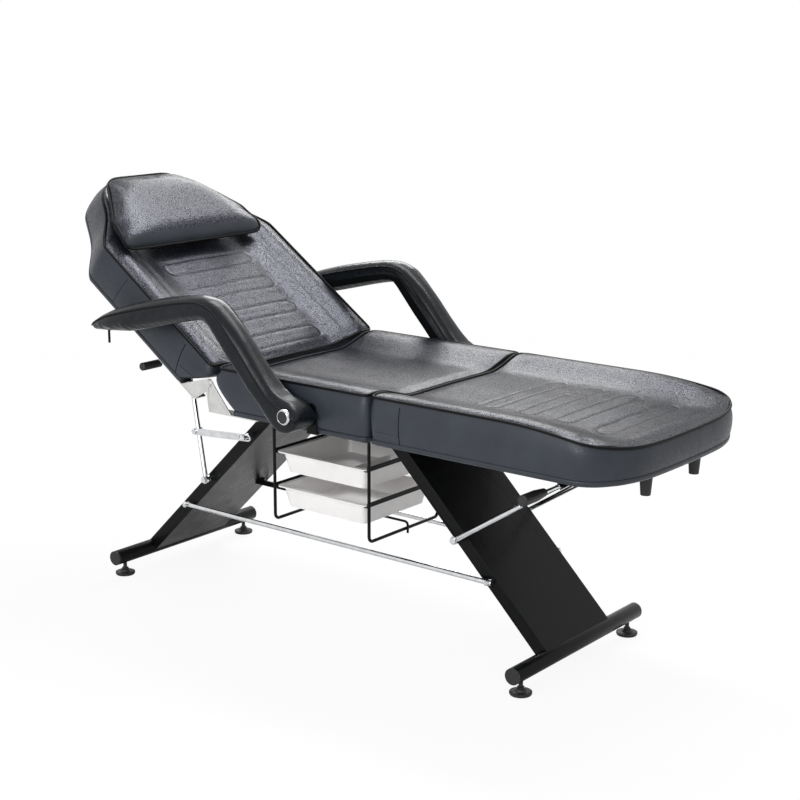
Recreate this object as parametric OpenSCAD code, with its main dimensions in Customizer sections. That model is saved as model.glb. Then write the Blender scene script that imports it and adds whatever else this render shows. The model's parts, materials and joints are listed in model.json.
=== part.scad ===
// Three-section treatment bed with a lifting backrest, a dropping leg rest,
// folding armrests and two trays hung under the seat.
// Millimetres. Z is up from the floor, X runs from the head to the feet,
// Y = 0 is the plane of symmetry.

/* [Bed] */
// Height of the cushion tops above the floor
top_z = 629; // [600:1:700]
// Width across the three cushions
bed_w = 606; // [580:1:640]
// Height of a cushion above its board
cushion_t = 98; // [88:1:108]
// Plywood board under each cushion
board_t = 12; // [9:1:15]
// Depth of the dish between the side bolsters
dish = 24; // [12:1:28]
// Radius of the cushion corners in plan
corner_r = 16; // [8:1:24]

/* [Seat] */
// X of the seat's front edge
seat_front_x = 254; // [234:1:272]
// Length of the seat along its underside
seat_len = 415; // [390:1:440]
// Lean of the seat's rear face over its height
seat_slant = 46; // [20:1:55]

/* [Backrest] */
// Length of the backrest
back_len = 752; // [700:1:800]
// Angle of the backrest above level
back_angle = 35; // [25:1:42]
// Hinge pin behind the seat board's rear edge
hinge_back = 76; // [66:1:90]
// Hinge pin below the cushion tops
hinge_drop = 45; // [40:1:50]
// Hinge pin to the backrest's lower edge
hinge_gap = 12; // [8:1:16]
// Drop of the cushion top at the head end
head_drop = 35; // [15:1:45]

/* [Head pillow] */
// Length of the pillow
pillow_len = 278; // [240:1:300]
// Half width of the pillow at its lower edge
pillow_half_w = 246; // [220:1:260]
// Distance of the pillow's lower edge from the backrest's lower edge
pillow_from = 402; // [385:1:410]
// Height of the pillow's piping above the backrest
pillow_rim = 17; // [12:1:22]
// Rise of the pillow's crown above its piping
pillow_crown = 32; // [20:1:40]

/* [Leg rest] */
// Length of the leg rest
rest_len = 632; // [590:1:680]
// Gap between the seat and the leg rest
rest_gap = 5; // [4:1:8]
// Drop of the cushion top at the foot end
rest_drop = 36; // [15:1:45]

/* [Base] */
// Distance of the rear foot bar behind the origin
rear_bar_x = 637; // [610:1:670]
// Distance of the front foot bar ahead of the origin
front_bar_x = 624; // [595:1:655]
// Outer diameter of the foot bars
bar_d = 38; // [34:1:44]
// Length of the foot bars with their end caps
bar_len = 522; // [490:1:560]
// Wall of the foot bars
bar_wall = 2; // [1.5:0.5:3]
// Height of the foot bar centres above the floor
bar_z = 51; // [46:1:56]
// Distance between the two legs' side plates, outside
leg_w = 262; // [240:1:280]
// Depth of the legs' side plates
leg_depth = 32; // [28:1:38]
// Sheet of the legs
leg_t = 3; // [2:0.5:4]
// Diameter of the tie rods
tie_d = 12; // [10:1:14]
// Height of the tie rods above the floor
tie_z = 200; // [180:1:215]
// Side of the seat frame's square tube
rail = 25; // [22:1:28]
// Wall of the seat frame's tube
rail_wall = 2; // [1.5:0.5:3]

/* [Levelling feet] */
// Diameter of a foot's pad
foot_d = 51; // [44:1:56]
// Height of a foot's pad
foot_h = 13; // [10:1:15]
// Diameter of a foot's threaded stem
stem_d = 10; // [8:1:12]

/* [Armrests] */
// Width of an armrest
arm_w = 86; // [74:1:96]
// Length of an armrest behind its pivot
arm_len = 672; // [630:1:700]
// Armrest pivot ahead of the origin
arm_pivot_x = 95; // [80:1:108]
// Armrest pivot below the cushion tops
arm_pivot_drop = 55; // [48:1:60]
// Diameter of the chrome cap over the pivot
arm_cap_d = 36; // [30:1:42]

/* [Rack and trays] */
// Diameter of the rack's wires
wire_d = 8; // [7:1:9]
// X of the rear rack wire behind the origin
rack_rear_x = 178; // [173:1:182]
// X of the front rack wire ahead of the origin
rack_front_x = 123; // [118:1:128]
// Room from the lower tray's bottom down to the lowest point of the rack wires
rack_under = 39; // [30:1:41]
// Height of the upper tray's rim above the floor
tray_top_z = 397; // [392:1:405]
// Distance from the upper tray's rim to the lower tray's rim
tray_pitch = 88; // [80:1:94]
// Depth of a tray
tray_h = 54; // [45:1:60]
// Wall of a tray
tray_wall = 2.5; // [2:0.5:3]
// Reach of a tray's rim beyond the rack wires' centres
tray_over = 3.4; // [0:0.2:6]

/* [Struts and levers] */
// Height of the struts' lower bolts above the floor
anchor_z = 283; // [270:1:295]
// Diameter of the strut tubes
strut_d = 13; // [12:0.5:14]
// Diameter of the strut rods
strut_rod_d = 9; // [8:0.5:9.5]
// Length of a backrest strut's tube beyond its lower bolt
back_tube_len = 216; // [212:1:220]
// Length of a leg strut's tube beyond its lower bolt
rest_tube_len = 213; // [209:1:217]
// Distance of the strut bracket from the backrest's lower edge
back_bracket_s = 214; // [208:1:220]
// Distance of the strut bracket from the leg rest's near edge
rest_bracket_s = 463; // [455:1:470]
// Diameter of a lever's rod
lever_d = 8; // [7:1:9]
// Half width of the bed at the ends of the lever grips
lever_reach = 308; // [300:1:310]

/* [Hidden] */

// Overrun of a cut past the faces that it goes through
over = 1;
// Clearance between a pin's surface and its bore
fit = 0.05;
// Clearance between faces that slide on each other
slip = 0.2;
// Gap left between pieces of different moving parts that lie side by side
part_gap = 0.4;

// Heights that follow from the sizes above
half_w = bed_w / 2;
board_z = top_z - cushion_t - board_t;
rail_z = board_z - rail;
seat_rear_x = seat_front_x - seat_len;
hinge_x = seat_rear_x - hinge_back;
hinge_z = top_z - hinge_drop;

// Black paint, chrome, zinc, leatherette, tray white and rubber
paint = [0.07, 0.07, 0.08];
chrome = [0.80, 0.81, 0.83];
zinc = [0.72, 0.72, 0.70];
hide = [0.10, 0.10, 0.12];
ply = [0.62, 0.48, 0.32];
tray_white = [0.93, 0.92, 0.90];
rubber = [0.05, 0.05, 0.05];

// Building blocks
module both() { children(); mirror([0, 1, 0]) children(); }
module ycyl(p, d, y0, y1) { translate([p[0], y0, p[1]]) rotate([-90, 0, 0])
    cylinder(d = d, h = y1 - y0, $fn = 48); }
module ybore(p, d, y0, y1) { ycyl(p, d, y0 - over, y1 + over); }
module yhex(p, d, y0, y1) { translate([p[0], y0, p[1]]) rotate([-90, 0, 0])
    cylinder(d = d, h = y1 - y0, $fn = 6); }
module box3(x0, x1, y0, y1, z0, z1) { translate([x0, y0, z0]) cube([x1 - x0, y1 - y0, z1 - z0]); }
// A flat plate in a plane of constant Y, from an outline in X and Z
module xz_plate(y0, t) { translate([0, y0 + t, 0]) rotate([90, 0, 0]) linear_extrude(t) children(); }
module disc_at(p, d) { translate(p) circle(d = d, $fn = 48); }

// Upholstered pad: stations xs along its length with half widths ws, columns q
// from -1 to 1, a top of height top(x, q) and side layers [out, dz, share],
// which run from the top's edge down to base(x). Layer k of the first face is
// moved along X by lean[k], which fades out over the length fade.
function rim_ids(n, m) = concat([for (j = [0:m]) [0, j]], [for (i = [1:n]) [i, m]],
    [for (j = [m - 1:-1:0]) [n, j]], [for (i = [n - 1:-1:1]) [i, 0]]);
least_norm = 0.001;
function unit2(v) = v / max(norm(v), least_norm);
module pad_solid(xs, ws, q, top, base, layers, lean, fade) {
    n = len(xs) - 1;
    m = len(q) - 1;
    ids = rim_ids(n, m);
    nb = len(ids);
    rim = [for (r = ids) [xs[r[0]], q[r[1]] * ws[r[0]]]];
    out = [for (b = [0:nb - 1]) let (t = unit2(unit2(rim[(b + 1) % nb] - rim[b])
        + unit2(rim[b] - rim[(b + nb - 1) % nb]))) [-t[1], t[0]]];
    function moved(x, k) = x + lean[k] * max(0, 1 - (x - xs[0]) / fade);
    function rim_at(b, k) = let (x = rim[b][0], qq = q[ids[b][1]], p = rim[b] + layers[k][0] * out[b],
        z0 = top(x, qq) + layers[k][1], f = layers[k][2])
        [moved(p[0], k), p[1], z0 * (1 - f) + base(x) * f];
    function id_of(i, j) = i == 0 ? j : j == m ? m + i : i == n ? m + n + m - j : nb - i;
    inner = [for (i = [1:n - 1]) for (j = [1:m - 1])
        [xs[i], q[j] * (ws[i] + layers[0][0]), top(xs[i], q[j])]];
    last = len(layers) - 1;
    sides = [for (k = [0:last]) for (b = [0:nb - 1]) rim_at(b, k)];
    first_in = len(sides);
    mid = [[(xs[0] + lean[last] + xs[n]) / 2, 0, base((xs[0] + xs[n]) / 2)]];
    function v(i, j) = (i > 0 && i < n && j > 0 && j < m) ? first_in + (i - 1) * (m - 1) + j - 1
        : id_of(i, j);
    top_faces = [for (i = [0:n - 1]) for (j = [0:m - 1]) for (f = [0, 1])
        f == 0 ? [v(i, j), v(i, j + 1), v(i + 1, j + 1)] : [v(i, j), v(i + 1, j + 1), v(i + 1, j)]];
    side_faces = [for (k = [0:last - 1]) for (b = [0:nb - 1]) for (f = [0, 1])
        let (u = k * nb + b, u2 = k * nb + (b + 1) % nb)
        f == 0 ? [u2, u, u + nb] : [u2, u + nb, u2 + nb]];
    under = [for (b = [0:nb - 1]) [last * nb + (b + 1) % nb, last * nb + b, first_in + len(inner)]];
    polyhedron(concat(sides, inner, mid), concat(top_faces, side_faces, under));
}
// Seam, piping and drawn-in side of the bed's cushions
pipe_in = 9;
pipe_out = 4.5;
pipe_up = 1.5;
pipe_low = 3.5;
seam_in = 3;
seam_low = 9;
side_in = 3.5;
side_out = 0.5;
top_seam = 2.5;
waist_share = 0.62;
upper_share = 0.3;
lower_share = 0.93;
pad_layers = [[-pipe_in, -top_seam, 0], [-pipe_out, pipe_up, 0], [0, -pipe_low, 0], [-seam_in, -seam_low, 0],
    [-side_out, 0, upper_share], [-side_in, 0, waist_share], [-side_out, 0, lower_share], [-seam_in, 0, 1]];
// The top across its width, as shares of the dish at shares of the half width
column_shares = [-1, -0.93, -0.82, -0.74, -0.66, -0.5, 0, 0.5, 0.66, 0.74, 0.82, 0.93, 1];
dish_shares = [[0, -0.92], [0.5, -1], [0.66, -0.42], [0.74, -0.28], [0.82, 0.02], [0.93, 0.02], [1, 0]];
// Plan of a square cushion end: shares of the corner radius along and across
corner_shares = [[0, 0.7], [0.35, 0.18], [1, 0]];
function dished(qq) = dish * lookup(abs(qq), dish_shares);
function droop(x, x0, x1, by) = x <= x0 ? 0 : -by * pow((x - x0) / (x1 - x0), 2);
function fading(x, x0, x1) = x <= x0 ? 1 : x >= x1 ? 0 : pow(cos(90 * (x - x0) / (x1 - x0)), 2);
end_x = [for (c = corner_shares) c[0] * corner_r];
end_w = [for (c = corner_shares) half_w - c[1] * corner_r];
function flip(a) = [for (k = [len(a) - 1:-1:0]) a[k]];
function levels(a, lean_by) = [for (r = a) lean_by(r[2])];
// An end face leans out a little under the piping and then runs in
nose = 9;
nose_share = 0.25;
function nosed(f, undercut) = f < nose_share ? -nose * f / nose_share
    : -nose + (undercut + nose) * (f - nose_share) / (1 - nose_share);

// Seat
seat_top_len = seat_len + seat_slant;
seat_bays = 7;
seat_xs = concat(end_x,
    [for (k = [1:seat_bays - 1]) corner_r + (seat_top_len - 2 * corner_r) * k / seat_bays],
    [for (e = flip(end_x)) seat_top_len - e]);
seat_ws = concat(end_w, [for (k = [1:seat_bays - 1]) half_w], flip(end_w));
module seat_cushion() {
    color(hide) translate([seat_rear_x - seat_slant, 0, top_z])
        pad_solid(seat_xs, seat_ws, column_shares, function(x, qq) dished(qq), function(x) -cushion_t,
            pad_layers, levels(pad_layers, function(f) nosed(f, seat_slant)), seat_top_len / 2);
}
board_inset = 4;
module seat_board() {
    color(ply) box3(seat_rear_x + board_inset, seat_front_x - board_inset, -half_w + board_inset,
        half_w - board_inset, board_z, board_z + board_t);
}

// Backrest, drawn level with its length along X and its top at Z = 0
plan_taper_shares = [[0.585, 1], [0.597, 0.992], [0.629, 0.937], [0.670, 0.848], [0.719, 0.739],
    [0.758, 0.673],
    [0.800, 0.615], [0.843, 0.561], [0.891, 0.498], [0.941, 0.35], [0.984, 0.19], [1, 0.05]];
channel_rows = 4;
channel_first = 59;
channel_pitch = 98;
channel_len = 42;
channel_cut = 3;
channel_deep = 3.5;
channel_xs = [for (r = [0:channel_rows - 1]) for (e = [-1, 1]) channel_first + channel_pitch * r
    + e * channel_len / 2];
// Distance of a station from the nearest sewn channel, as a depth from 1 to 0
function in_channel(x) = max([for (c = channel_xs) abs(x - c) < channel_cut / 2 ? 1 : 0]);
back_xs = concat(end_x, [for (c = channel_xs) for (e = [-1, 0, 1]) c + e * channel_cut],
    [for (p = plan_taper_shares) p[0] * back_len]);
back_ws = concat(end_w, [for (c = channel_xs) for (e = [-1, 0, 1]) half_w],
    [for (p = plan_taper_shares) p[1] * half_w]);
head_from_share = 0.72;
head_fade_share = 0.8;
function back_top(x, qq) = droop(x, head_from_share * back_len, back_len, head_drop)
    + dished(qq) * fading(x, head_fade_share * back_len, back_len)
    - (abs(qq) <= channel_half_share ? channel_deep * in_channel(x) : 0);
channel_half_share = 0.5;
back_undercut = 61;
module on_back() {
    translate([hinge_x, 0, hinge_z]) rotate([0, back_angle, 0]) rotate([0, 0, 180])
        translate([hinge_gap, 0, hinge_drop]) children();
}
back_fade_share = 0.28;
module backrest_cushion() {
    color(hide) on_back() pad_solid(back_xs, back_ws, column_shares, function(x, qq) back_top(x, qq),
        function(x) -cushion_t, pad_layers, levels(pad_layers, function(f) nosed(f, back_undercut)),
        back_fade_share * back_len);
}
// A flat board under a pad, inset from its plan
module plan_board(x0, plan, length, inset, z0, t) {
    pts = concat([[x0, half_w - inset]], [for (p = plan) if (p[0] * length > x0 + inset && p[0] < 1)
        [p[0] * length - inset, p[1] * half_w - inset]]);
    good = [for (p = pts) if (p[1] > 0) p];
    translate([0, 0, z0]) linear_extrude(t)
        polygon(concat(good, [for (k = [len(good) - 1:-1:0]) [good[k][0], -good[k][1]]]));
}
back_board_inset = 10;
module backrest_board() {
    color(ply) on_back() plan_board(back_undercut + board_inset, plan_taper_shares, back_len,
        back_board_inset,
        -cushion_t - board_t, board_t);
}

// Head pillow
pillow_plan_shares = [[0, 0.90], [0.02, 0.975], [0.05, 1], [0.13, 1], [0.23, 0.957], [0.335, 0.957],
    [0.417, 0.882],
    [0.583, 0.764], [0.723, 0.659], [0.871, 0.541], [0.95, 0.415], [0.993, 0.134]];
pillow_cols_shares = [-1, -0.85, -0.6, -0.3, 0, 0.3, 0.6, 0.85, 1];
pillow_pipe = 5;
pillow_side_power = 3;
pillow_end_power = 0.6;
pillow_seat_gap = 2;
pillow_layers = [[-pipe_in, -top_seam, 0], [-pipe_out, pipe_up, 0], [0, -pipe_low, 0],
    [-seam_in, -pipe_in, 0],
    [-pillow_pipe, 0, 1]];
function pillow_drop(x) = droop(x + pillow_from, head_from_share * back_len, back_len, head_drop);
module head_pillow() {
    xs = [for (p = pillow_plan_shares) p[0] * pillow_len];
    color(hide) on_back() translate([pillow_from, 0, 0])
        pad_solid(xs, [for (p = pillow_plan_shares) p[1] * pillow_half_w], pillow_cols_shares,
            function(x, qq) pillow_drop(x) + pillow_rim
                + pillow_crown * (1 - pow(abs(qq), pillow_side_power))
                * pow(sin(180 * min(max(x / pillow_len, 0), 1)), pillow_end_power),
            function(x) pillow_drop(x) + pillow_seat_gap, pillow_layers,
            [for (r = pillow_layers) 0], pillow_len);
}

// Leg rest, drawn with its near edge at X = 0 and its top at Z = 0
rest_plan_shares = [[0.30, 1], [0.56, 1], [0.70, 1], [0.80, 1], [0.845, 1], [0.88, 0.972], [0.913, 0.924],
    [0.937, 0.855],
    [0.963, 0.769], [0.9937, 0.551], [1, 0.2]];
rest_from_share = 0.53;
rest_fade_share = 0.78;
rest_rows_shares = [0.1, 0.2];
rest_xs = concat(end_x, [for (s = rest_rows_shares) s * rest_len],
    [for (p = rest_plan_shares) p[0] * rest_len]);
rest_ws = concat(end_w, [for (s = rest_rows_shares) half_w], [for (p = rest_plan_shares) p[1] * half_w]);
rest_x = seat_front_x + rest_gap;
module on_rest() { translate([rest_x, 0, top_z]) children(); }
module rest_cushion() {
    color(hide) on_rest() pad_solid(rest_xs, rest_ws, column_shares,
        function(x, qq) droop(x, rest_from_share * rest_len, rest_len, rest_drop)
            + dished(qq) * fading(x, rest_fade_share * rest_len, rest_len),
        function(x) -cushion_t, pad_layers, [for (r = pad_layers) 0], rest_len);
}
module rest_board() {
    color(ply) on_rest() plan_board(board_inset, rest_plan_shares, rest_len, back_board_inset / 2 + over,
        -cushion_t - board_t, board_t);
}

// Foot bars, their caps and the levelling feet
foot_inset = 35;
foot_y = bar_len / 2 - foot_inset;
cap_t = 4;
cap_plug = 14;
nut_len = 22;
stem_fit = 0.1;
module foot_bar(x) {
    tube_half = bar_len / 2 - cap_t;
    difference() {
        ycyl([x, bar_z], bar_d, -tube_half, tube_half);
        difference() {
            ybore([x, bar_z], bar_d - 2 * bar_wall, -tube_half, tube_half);
            for (s = [-1, 1]) box3(x - bar_d, x + bar_d, s * foot_y - nut_len / 2, s * foot_y + nut_len / 2,
                bar_z - bar_d, bar_z + bar_d);
        }
        for (s = [-1, 1]) translate([x, s * foot_y, bar_z - bar_d])
            cylinder(d = stem_d + 2 * stem_fit, h = bar_d + stem_top, $fn = 48);
    }
}
stem_top = 16;
module rear_foot_bar() { color(paint) foot_bar(-rear_bar_x); }
module front_foot_bar() { color(paint) foot_bar(front_bar_x); }
module foot_bar_caps() {
    color(rubber) for (x = [-rear_bar_x, front_bar_x]) both() {
        ycyl([x, bar_z], bar_d, bar_len / 2 - cap_t, bar_len / 2);
        ycyl([x, bar_z], bar_d - 2 * bar_wall, bar_len / 2 - cap_t - cap_plug, bar_len / 2 - cap_t);
    }
}
pad_neck_d = 26;
pad_neck_h = 5;
pad_edge = 3;
stem_gap = 11;
module levelling_foot(x, y) {
    translate([x, y, 0]) {
        rotate_extrude($fn = 64) polygon([[0, 0], [foot_d / 2 - pad_edge / 2, 0], [foot_d / 2, pad_edge],
            [foot_d / 2, foot_h - pad_neck_h - pad_edge / 2], [foot_d / 2 - pad_edge, foot_h - pad_neck_h],
            [pad_neck_d / 2, foot_h - pad_neck_h], [pad_neck_d / 2 - pad_edge, foot_h], [0, foot_h]]);
        translate([0, 0, foot_h]) cylinder(d = stem_d, h = bar_z + stem_top - stem_gap - foot_h, $fn = 48);
        translate([0, 0, foot_h]) cylinder(d = stem_d * nut_share, h = lock_nut_h, $fn = 6);
    }
}
nut_share = 1.8;
lock_nut_h = 5;
module foot_rear_near() { color(rubber) levelling_foot(-rear_bar_x, -foot_y); }
module foot_rear_far() { color(rubber) levelling_foot(-rear_bar_x, foot_y); }
module foot_front_near() { color(rubber) levelling_foot(front_bar_x, -foot_y); }
module foot_front_far() { color(rubber) levelling_foot(front_bar_x, foot_y); }

// Legs: folded sheet channels from the foot bars to the seat frame
rear_top_x = -184;
front_top_x = 178;
rear_rise = atan2(rail_z - bar_z, rear_top_x + rear_bar_x);
front_rise = atan2(rail_z - bar_z, front_bar_x - front_top_x);
function rear_leg_x(z) = -rear_bar_x + (z - bar_z) / tan(rear_rise);
function front_leg_x(z) = front_bar_x - (z - bar_z) / tan(front_rise);
tie_rear_x = rear_leg_x(tie_z);
tie_front_x = front_leg_x(tie_z);
// A channel along +X with its panel on the side of Z that panel_up gives
module channel(length, panel_up) {
    difference() {
        box3(0, length, -leg_w / 2, leg_w / 2, -leg_depth / 2, leg_depth / 2);
        box3(-over, length + over, -leg_w / 2 + leg_t, leg_w / 2 - leg_t,
            panel_up ? -leg_depth / 2 - over : -leg_depth / 2 + leg_t,
            panel_up ? leg_depth / 2 - leg_t : leg_depth / 2 + over);
    }
}
tie_bolt_d = 8;
anchor_d = 10;
stay_bolt_d = 8;
module rear_leg() {
    reach = (rail_z - bar_z) / sin(rear_rise) + leg_depth;
    color(paint) difference() {
        translate([-rear_bar_x, 0, bar_z]) rotate([0, -rear_rise, 0]) channel(reach, false);
        ybore([-rear_bar_x, bar_z], bar_d, -leg_w / 2, leg_w / 2);
        box3(rear_top_x - leg_depth * 2, rear_top_x + leg_depth * 2, -leg_w, leg_w, rail_z, rail_z
            + leg_depth * 2);
        ybore([tie_rear_x, tie_z], tie_bolt_d, -leg_w / 2, leg_w / 2);
        ybore([rear_leg_x(anchor_z) + back_anchor_off, anchor_z], anchor_d, -leg_w / 2, leg_w / 2);
        ybore([rear_leg_x(stay_z), stay_z], stay_bolt_d, -leg_w / 2, leg_w / 2);
    }
}
module front_leg() {
    reach = (rail_z - bar_z) / sin(front_rise) + leg_depth;
    color(paint) difference() {
        translate([front_bar_x, 0, bar_z]) rotate([0, 180 + front_rise, 0]) channel(reach, false);
        ybore([front_bar_x, bar_z], bar_d, -leg_w / 2, leg_w / 2);
        box3(front_top_x - leg_depth * 2, front_top_x + leg_depth * 2, -leg_w, leg_w, rail_z, rail_z
            + leg_depth * 2);
        ybore([tie_front_x, tie_z], tie_bolt_d, -leg_w / 2, leg_w / 2);
        ybore([front_leg_x(anchor_z) - rest_anchor_off, anchor_z], anchor_d, -leg_w / 2, leg_w / 2);
        front_screws(screw_d + 2 * fit, 0);
    }
}
// Pan-head screws through the front leg's panel near its top
screw_d = 5;
screw_head_d = 10;
screw_head_h = 3;
screw_y = 60;
screw_down = 42;
screw_tail = 4;
module front_screws(d, head) {
    translate([front_top_x, 0, rail_z]) rotate([0, front_rise, 0]) for (s = [-1, 1])
        translate([screw_down, s * screw_y, leg_depth / 2 - leg_t - screw_tail]) {
            cylinder(d = d, h = leg_t + screw_tail + over * (1 - head), $fn = 32);
            if (head > 0) translate([0, 0, leg_t + screw_tail])
                cylinder(d = screw_head_d, h = screw_head_h, $fn = 32);
        }
}
module leg_screws() { color(chrome) front_screws(screw_d, 1); }

// Seat frame
frame_rear_x = 217;
frame_front_x = 248;
rail_y = leg_w / 2;
module seat_frame() {
    color(paint) difference() {
        union() {
            for (s = [-1, 1]) box3(-frame_rear_x, frame_front_x, s * rail_y - rail / 2, s * rail_y + rail / 2,
                rail_z, board_z);
            for (x = [rear_top_x, front_top_x])
                box3(x - rail / 2, x + rail / 2, -rail_y, rail_y, rail_z, board_z);
        }
        for (s = [-1, 1]) box3(-frame_rear_x - over, frame_front_x + over, s * rail_y - rail / 2 + rail_wall,
            s * rail_y + rail / 2 - rail_wall, rail_z + rail_wall, board_z - rail_wall);
    }
}

// Tie rods between the legs, and their bolts
tie_stand = 5;
tie_y = leg_w / 2 + tie_stand + tie_d / 2;
tie_end = 10;
bolt_head_h = 4;
bolt_head_share = 1.7;
nut_h = 6;
module tie_rods() {
    color(chrome) both() difference() {
        translate([tie_rear_x - tie_end, tie_y, tie_z]) rotate([0, 90, 0])
            cylinder(d = tie_d, h = tie_front_x - tie_rear_x + 2 * tie_end, $fn = 48);
        for (x = [tie_rear_x, tie_front_x]) ybore([x, tie_z], tie_bolt_d, tie_y - tie_d, tie_y + tie_d);
    }
}
module tie_rod_bolts() {
    color(chrome) both() for (x = [tie_rear_x, tie_front_x]) {
        ycyl([x, tie_z], tie_bolt_d, leg_w / 2 - leg_t - nut_h, tie_y + tie_d / 2);
        yhex([x, tie_z], tie_bolt_d * bolt_head_share, tie_y + tie_d / 2, tie_y + tie_d / 2 + bolt_head_h);
        yhex([x, tie_z], tie_bolt_d * bolt_head_share, leg_w / 2 - leg_t - nut_h, leg_w / 2 - leg_t);
        ycyl([x, tie_z], tie_d, leg_w / 2, tie_y - tie_d / 2);
    }
}

// Tray rack: two wire hoops, four angle rails, a cross tie and a strap
tray_low_z = tray_top_z - tray_pitch - tray_h;
wire_off = 4.6;
wire_y = leg_w / 2 + wire_off;
wire_bend = 14;
rack_z = tray_low_z - rack_under;
module wire_hoop(x) {
    zc = rack_z + wire_d / 2;
    both() {
        translate([x, wire_y, zc + wire_bend]) cylinder(d = wire_d, h = rail_z - zc - wire_bend, $fn = 32);
        translate([x, wire_y - wire_bend, zc + wire_bend]) rotate([0, 90, 0])
            rotate_extrude(angle = 90, $fn = 32) translate([wire_bend, 0]) circle(d = wire_d, $fn = 32);
    }
    ycyl([x, zc], wire_d, -wire_y + wire_bend, wire_y - wire_bend);
}
module rack_wire_rear() { color(paint) wire_hoop(-rack_rear_x); }
module rack_wire_front() { color(paint) wire_hoop(rack_front_x); }
angle_t = 2;
angle_leg = 12;
angle_over = 1.4;
angle_half = wire_y + angle_over;
rim_t = 3;
rack_in_rear = -rack_rear_x + wire_d / 2;
rack_in_front = rack_front_x - wire_d / 2;
function rim_z(k) = tray_top_z - tray_pitch * k - rim_t - slip;
module rack_rails() {
    color(paint) for (k = [0, 1]) {
        z = rim_z(k) - angle_t;
        box3(rack_in_rear, rack_in_rear + angle_t, -angle_half, angle_half, z, z + angle_leg);
        box3(rack_in_rear, rack_in_rear + angle_leg, -angle_half, angle_half, z, z + angle_t);
        box3(rack_in_front - angle_t, rack_in_front, -angle_half, angle_half, z, z + angle_leg);
        box3(rack_in_front - angle_leg, rack_in_front, -angle_half, angle_half, z, z + angle_t);
    }
}
// The cross tie is a thinner wire whose ends hook down over the hoops
tie_wire_d = 6;
tie_wire_gap = 14;
tie_wire_z = tray_low_z - tie_wire_gap - tie_wire_d / 2;
tie_wire_bend = 9;
tie_wire_hook = 28;
tie_wire_low = tie_wire_z - tie_wire_hook;
tie_wire_y = 5;
module rack_cross_wire() {
    x0 = -rack_rear_x - (wire_d + tie_wire_d) / 2;
    x1 = rack_front_x + (wire_d + tie_wire_d) / 2;
    color(paint) translate([0, tie_wire_y, 0]) {
        translate([x0 + tie_wire_bend, 0, tie_wire_z]) rotate([0, 90, 0])
            cylinder(d = tie_wire_d, h = x1 - x0 - 2 * tie_wire_bend, $fn = 32);
        for (x = [x0, x1]) translate([x, 0, tie_wire_low])
            cylinder(d = tie_wire_d, h = tie_wire_z - tie_wire_bend - tie_wire_low, $fn = 32);
        translate([x1 - tie_wire_bend, 0, tie_wire_z - tie_wire_bend]) rotate([90, 0, 0])
            rotate_extrude(angle = 90, $fn = 32) translate([tie_wire_bend, 0])
                circle(d = tie_wire_d, $fn = 32);
        translate([x0 + tie_wire_bend, 0, tie_wire_z - tie_wire_bend]) rotate([90, 0, 0]) rotate([0, 0, 90])
            rotate_extrude(angle = 90, $fn = 32) translate([tie_wire_bend, 0])
                circle(d = tie_wire_d, $fn = 32);
    }
}
// The strap is bolted to the rear leg's panel and ends on the lower bar of the rear hoop
strap_h = 14;
strap_t = 3;
strap_y_share = 0.3;
strap_tab = 24;
strap_head_h = 4;
module rack_strap() {
    y1 = leg_w * strap_y_share;
    zc = rack_z + wire_d / 2;
    tab_x = (zc - bar_z + (leg_depth + strap_t) / 2 * cos(rear_rise)) / sin(rear_rise);
    color(paint) {
        intersection() {
            box3(-rear_bar_x, -rack_rear_x - wire_d / 2, y1, y1 + strap_t, zc - strap_h / 2, zc + strap_h / 2);
            translate([-rear_bar_x, 0, bar_z]) rotate([0, -rear_rise, 0])
                box3(0, rear_bar_x * 2, -leg_w, leg_w, -rear_bar_x, -leg_depth / 2);
        }
        translate([-rear_bar_x, 0, bar_z]) rotate([0, -rear_rise, 0]) {
            box3(tab_x - strap_h / 2, tab_x + strap_h / 2, y1, y1 + strap_tab, -leg_depth / 2 - strap_t,
                -leg_depth / 2);
            translate([tab_x, y1 + strap_tab - strap_h / 2, -leg_depth / 2 - strap_t - strap_head_h])
                cylinder(d = strap_h, h = strap_head_h + strap_t / 2, $fn = 32);
        }
    }
}

// Armrest brackets and pivot bolts on the seat frame
bracket_t = 3;
bracket_gap = 1;
bracket_half = 15;
bracket_y = half_w + bracket_gap;
arm_z = top_z - arm_pivot_drop;
arm_bolt_d = 12;
module arm_brackets() {
    color(paint) both() difference() {
        union() {
            box3(arm_pivot_x - bracket_half, arm_pivot_x + bracket_half, rail_y + rail / 2, bracket_y
                + bracket_t,
                board_z - bracket_t, board_z);
            xz_plate(bracket_y, bracket_t) union() {
                translate([arm_pivot_x - bracket_half, board_z - bracket_t])
                    square([2 * bracket_half, arm_z - board_z + bracket_t]);
                disc_at([arm_pivot_x, arm_z], 2 * bracket_half);
            }
        }
        ybore([arm_pivot_x, arm_z], arm_bolt_d, bracket_y, bracket_y + bracket_t);
    }
}
arm_in_y = bracket_y + bracket_t + slip;
arm_plate_t = 3.5;
module arm_pivot_bolts() {
    color(chrome) both() {
        ycyl([arm_pivot_x, arm_z], arm_bolt_d, bracket_y, arm_in_y + arm_plate_t + slip);
    }
}

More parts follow.
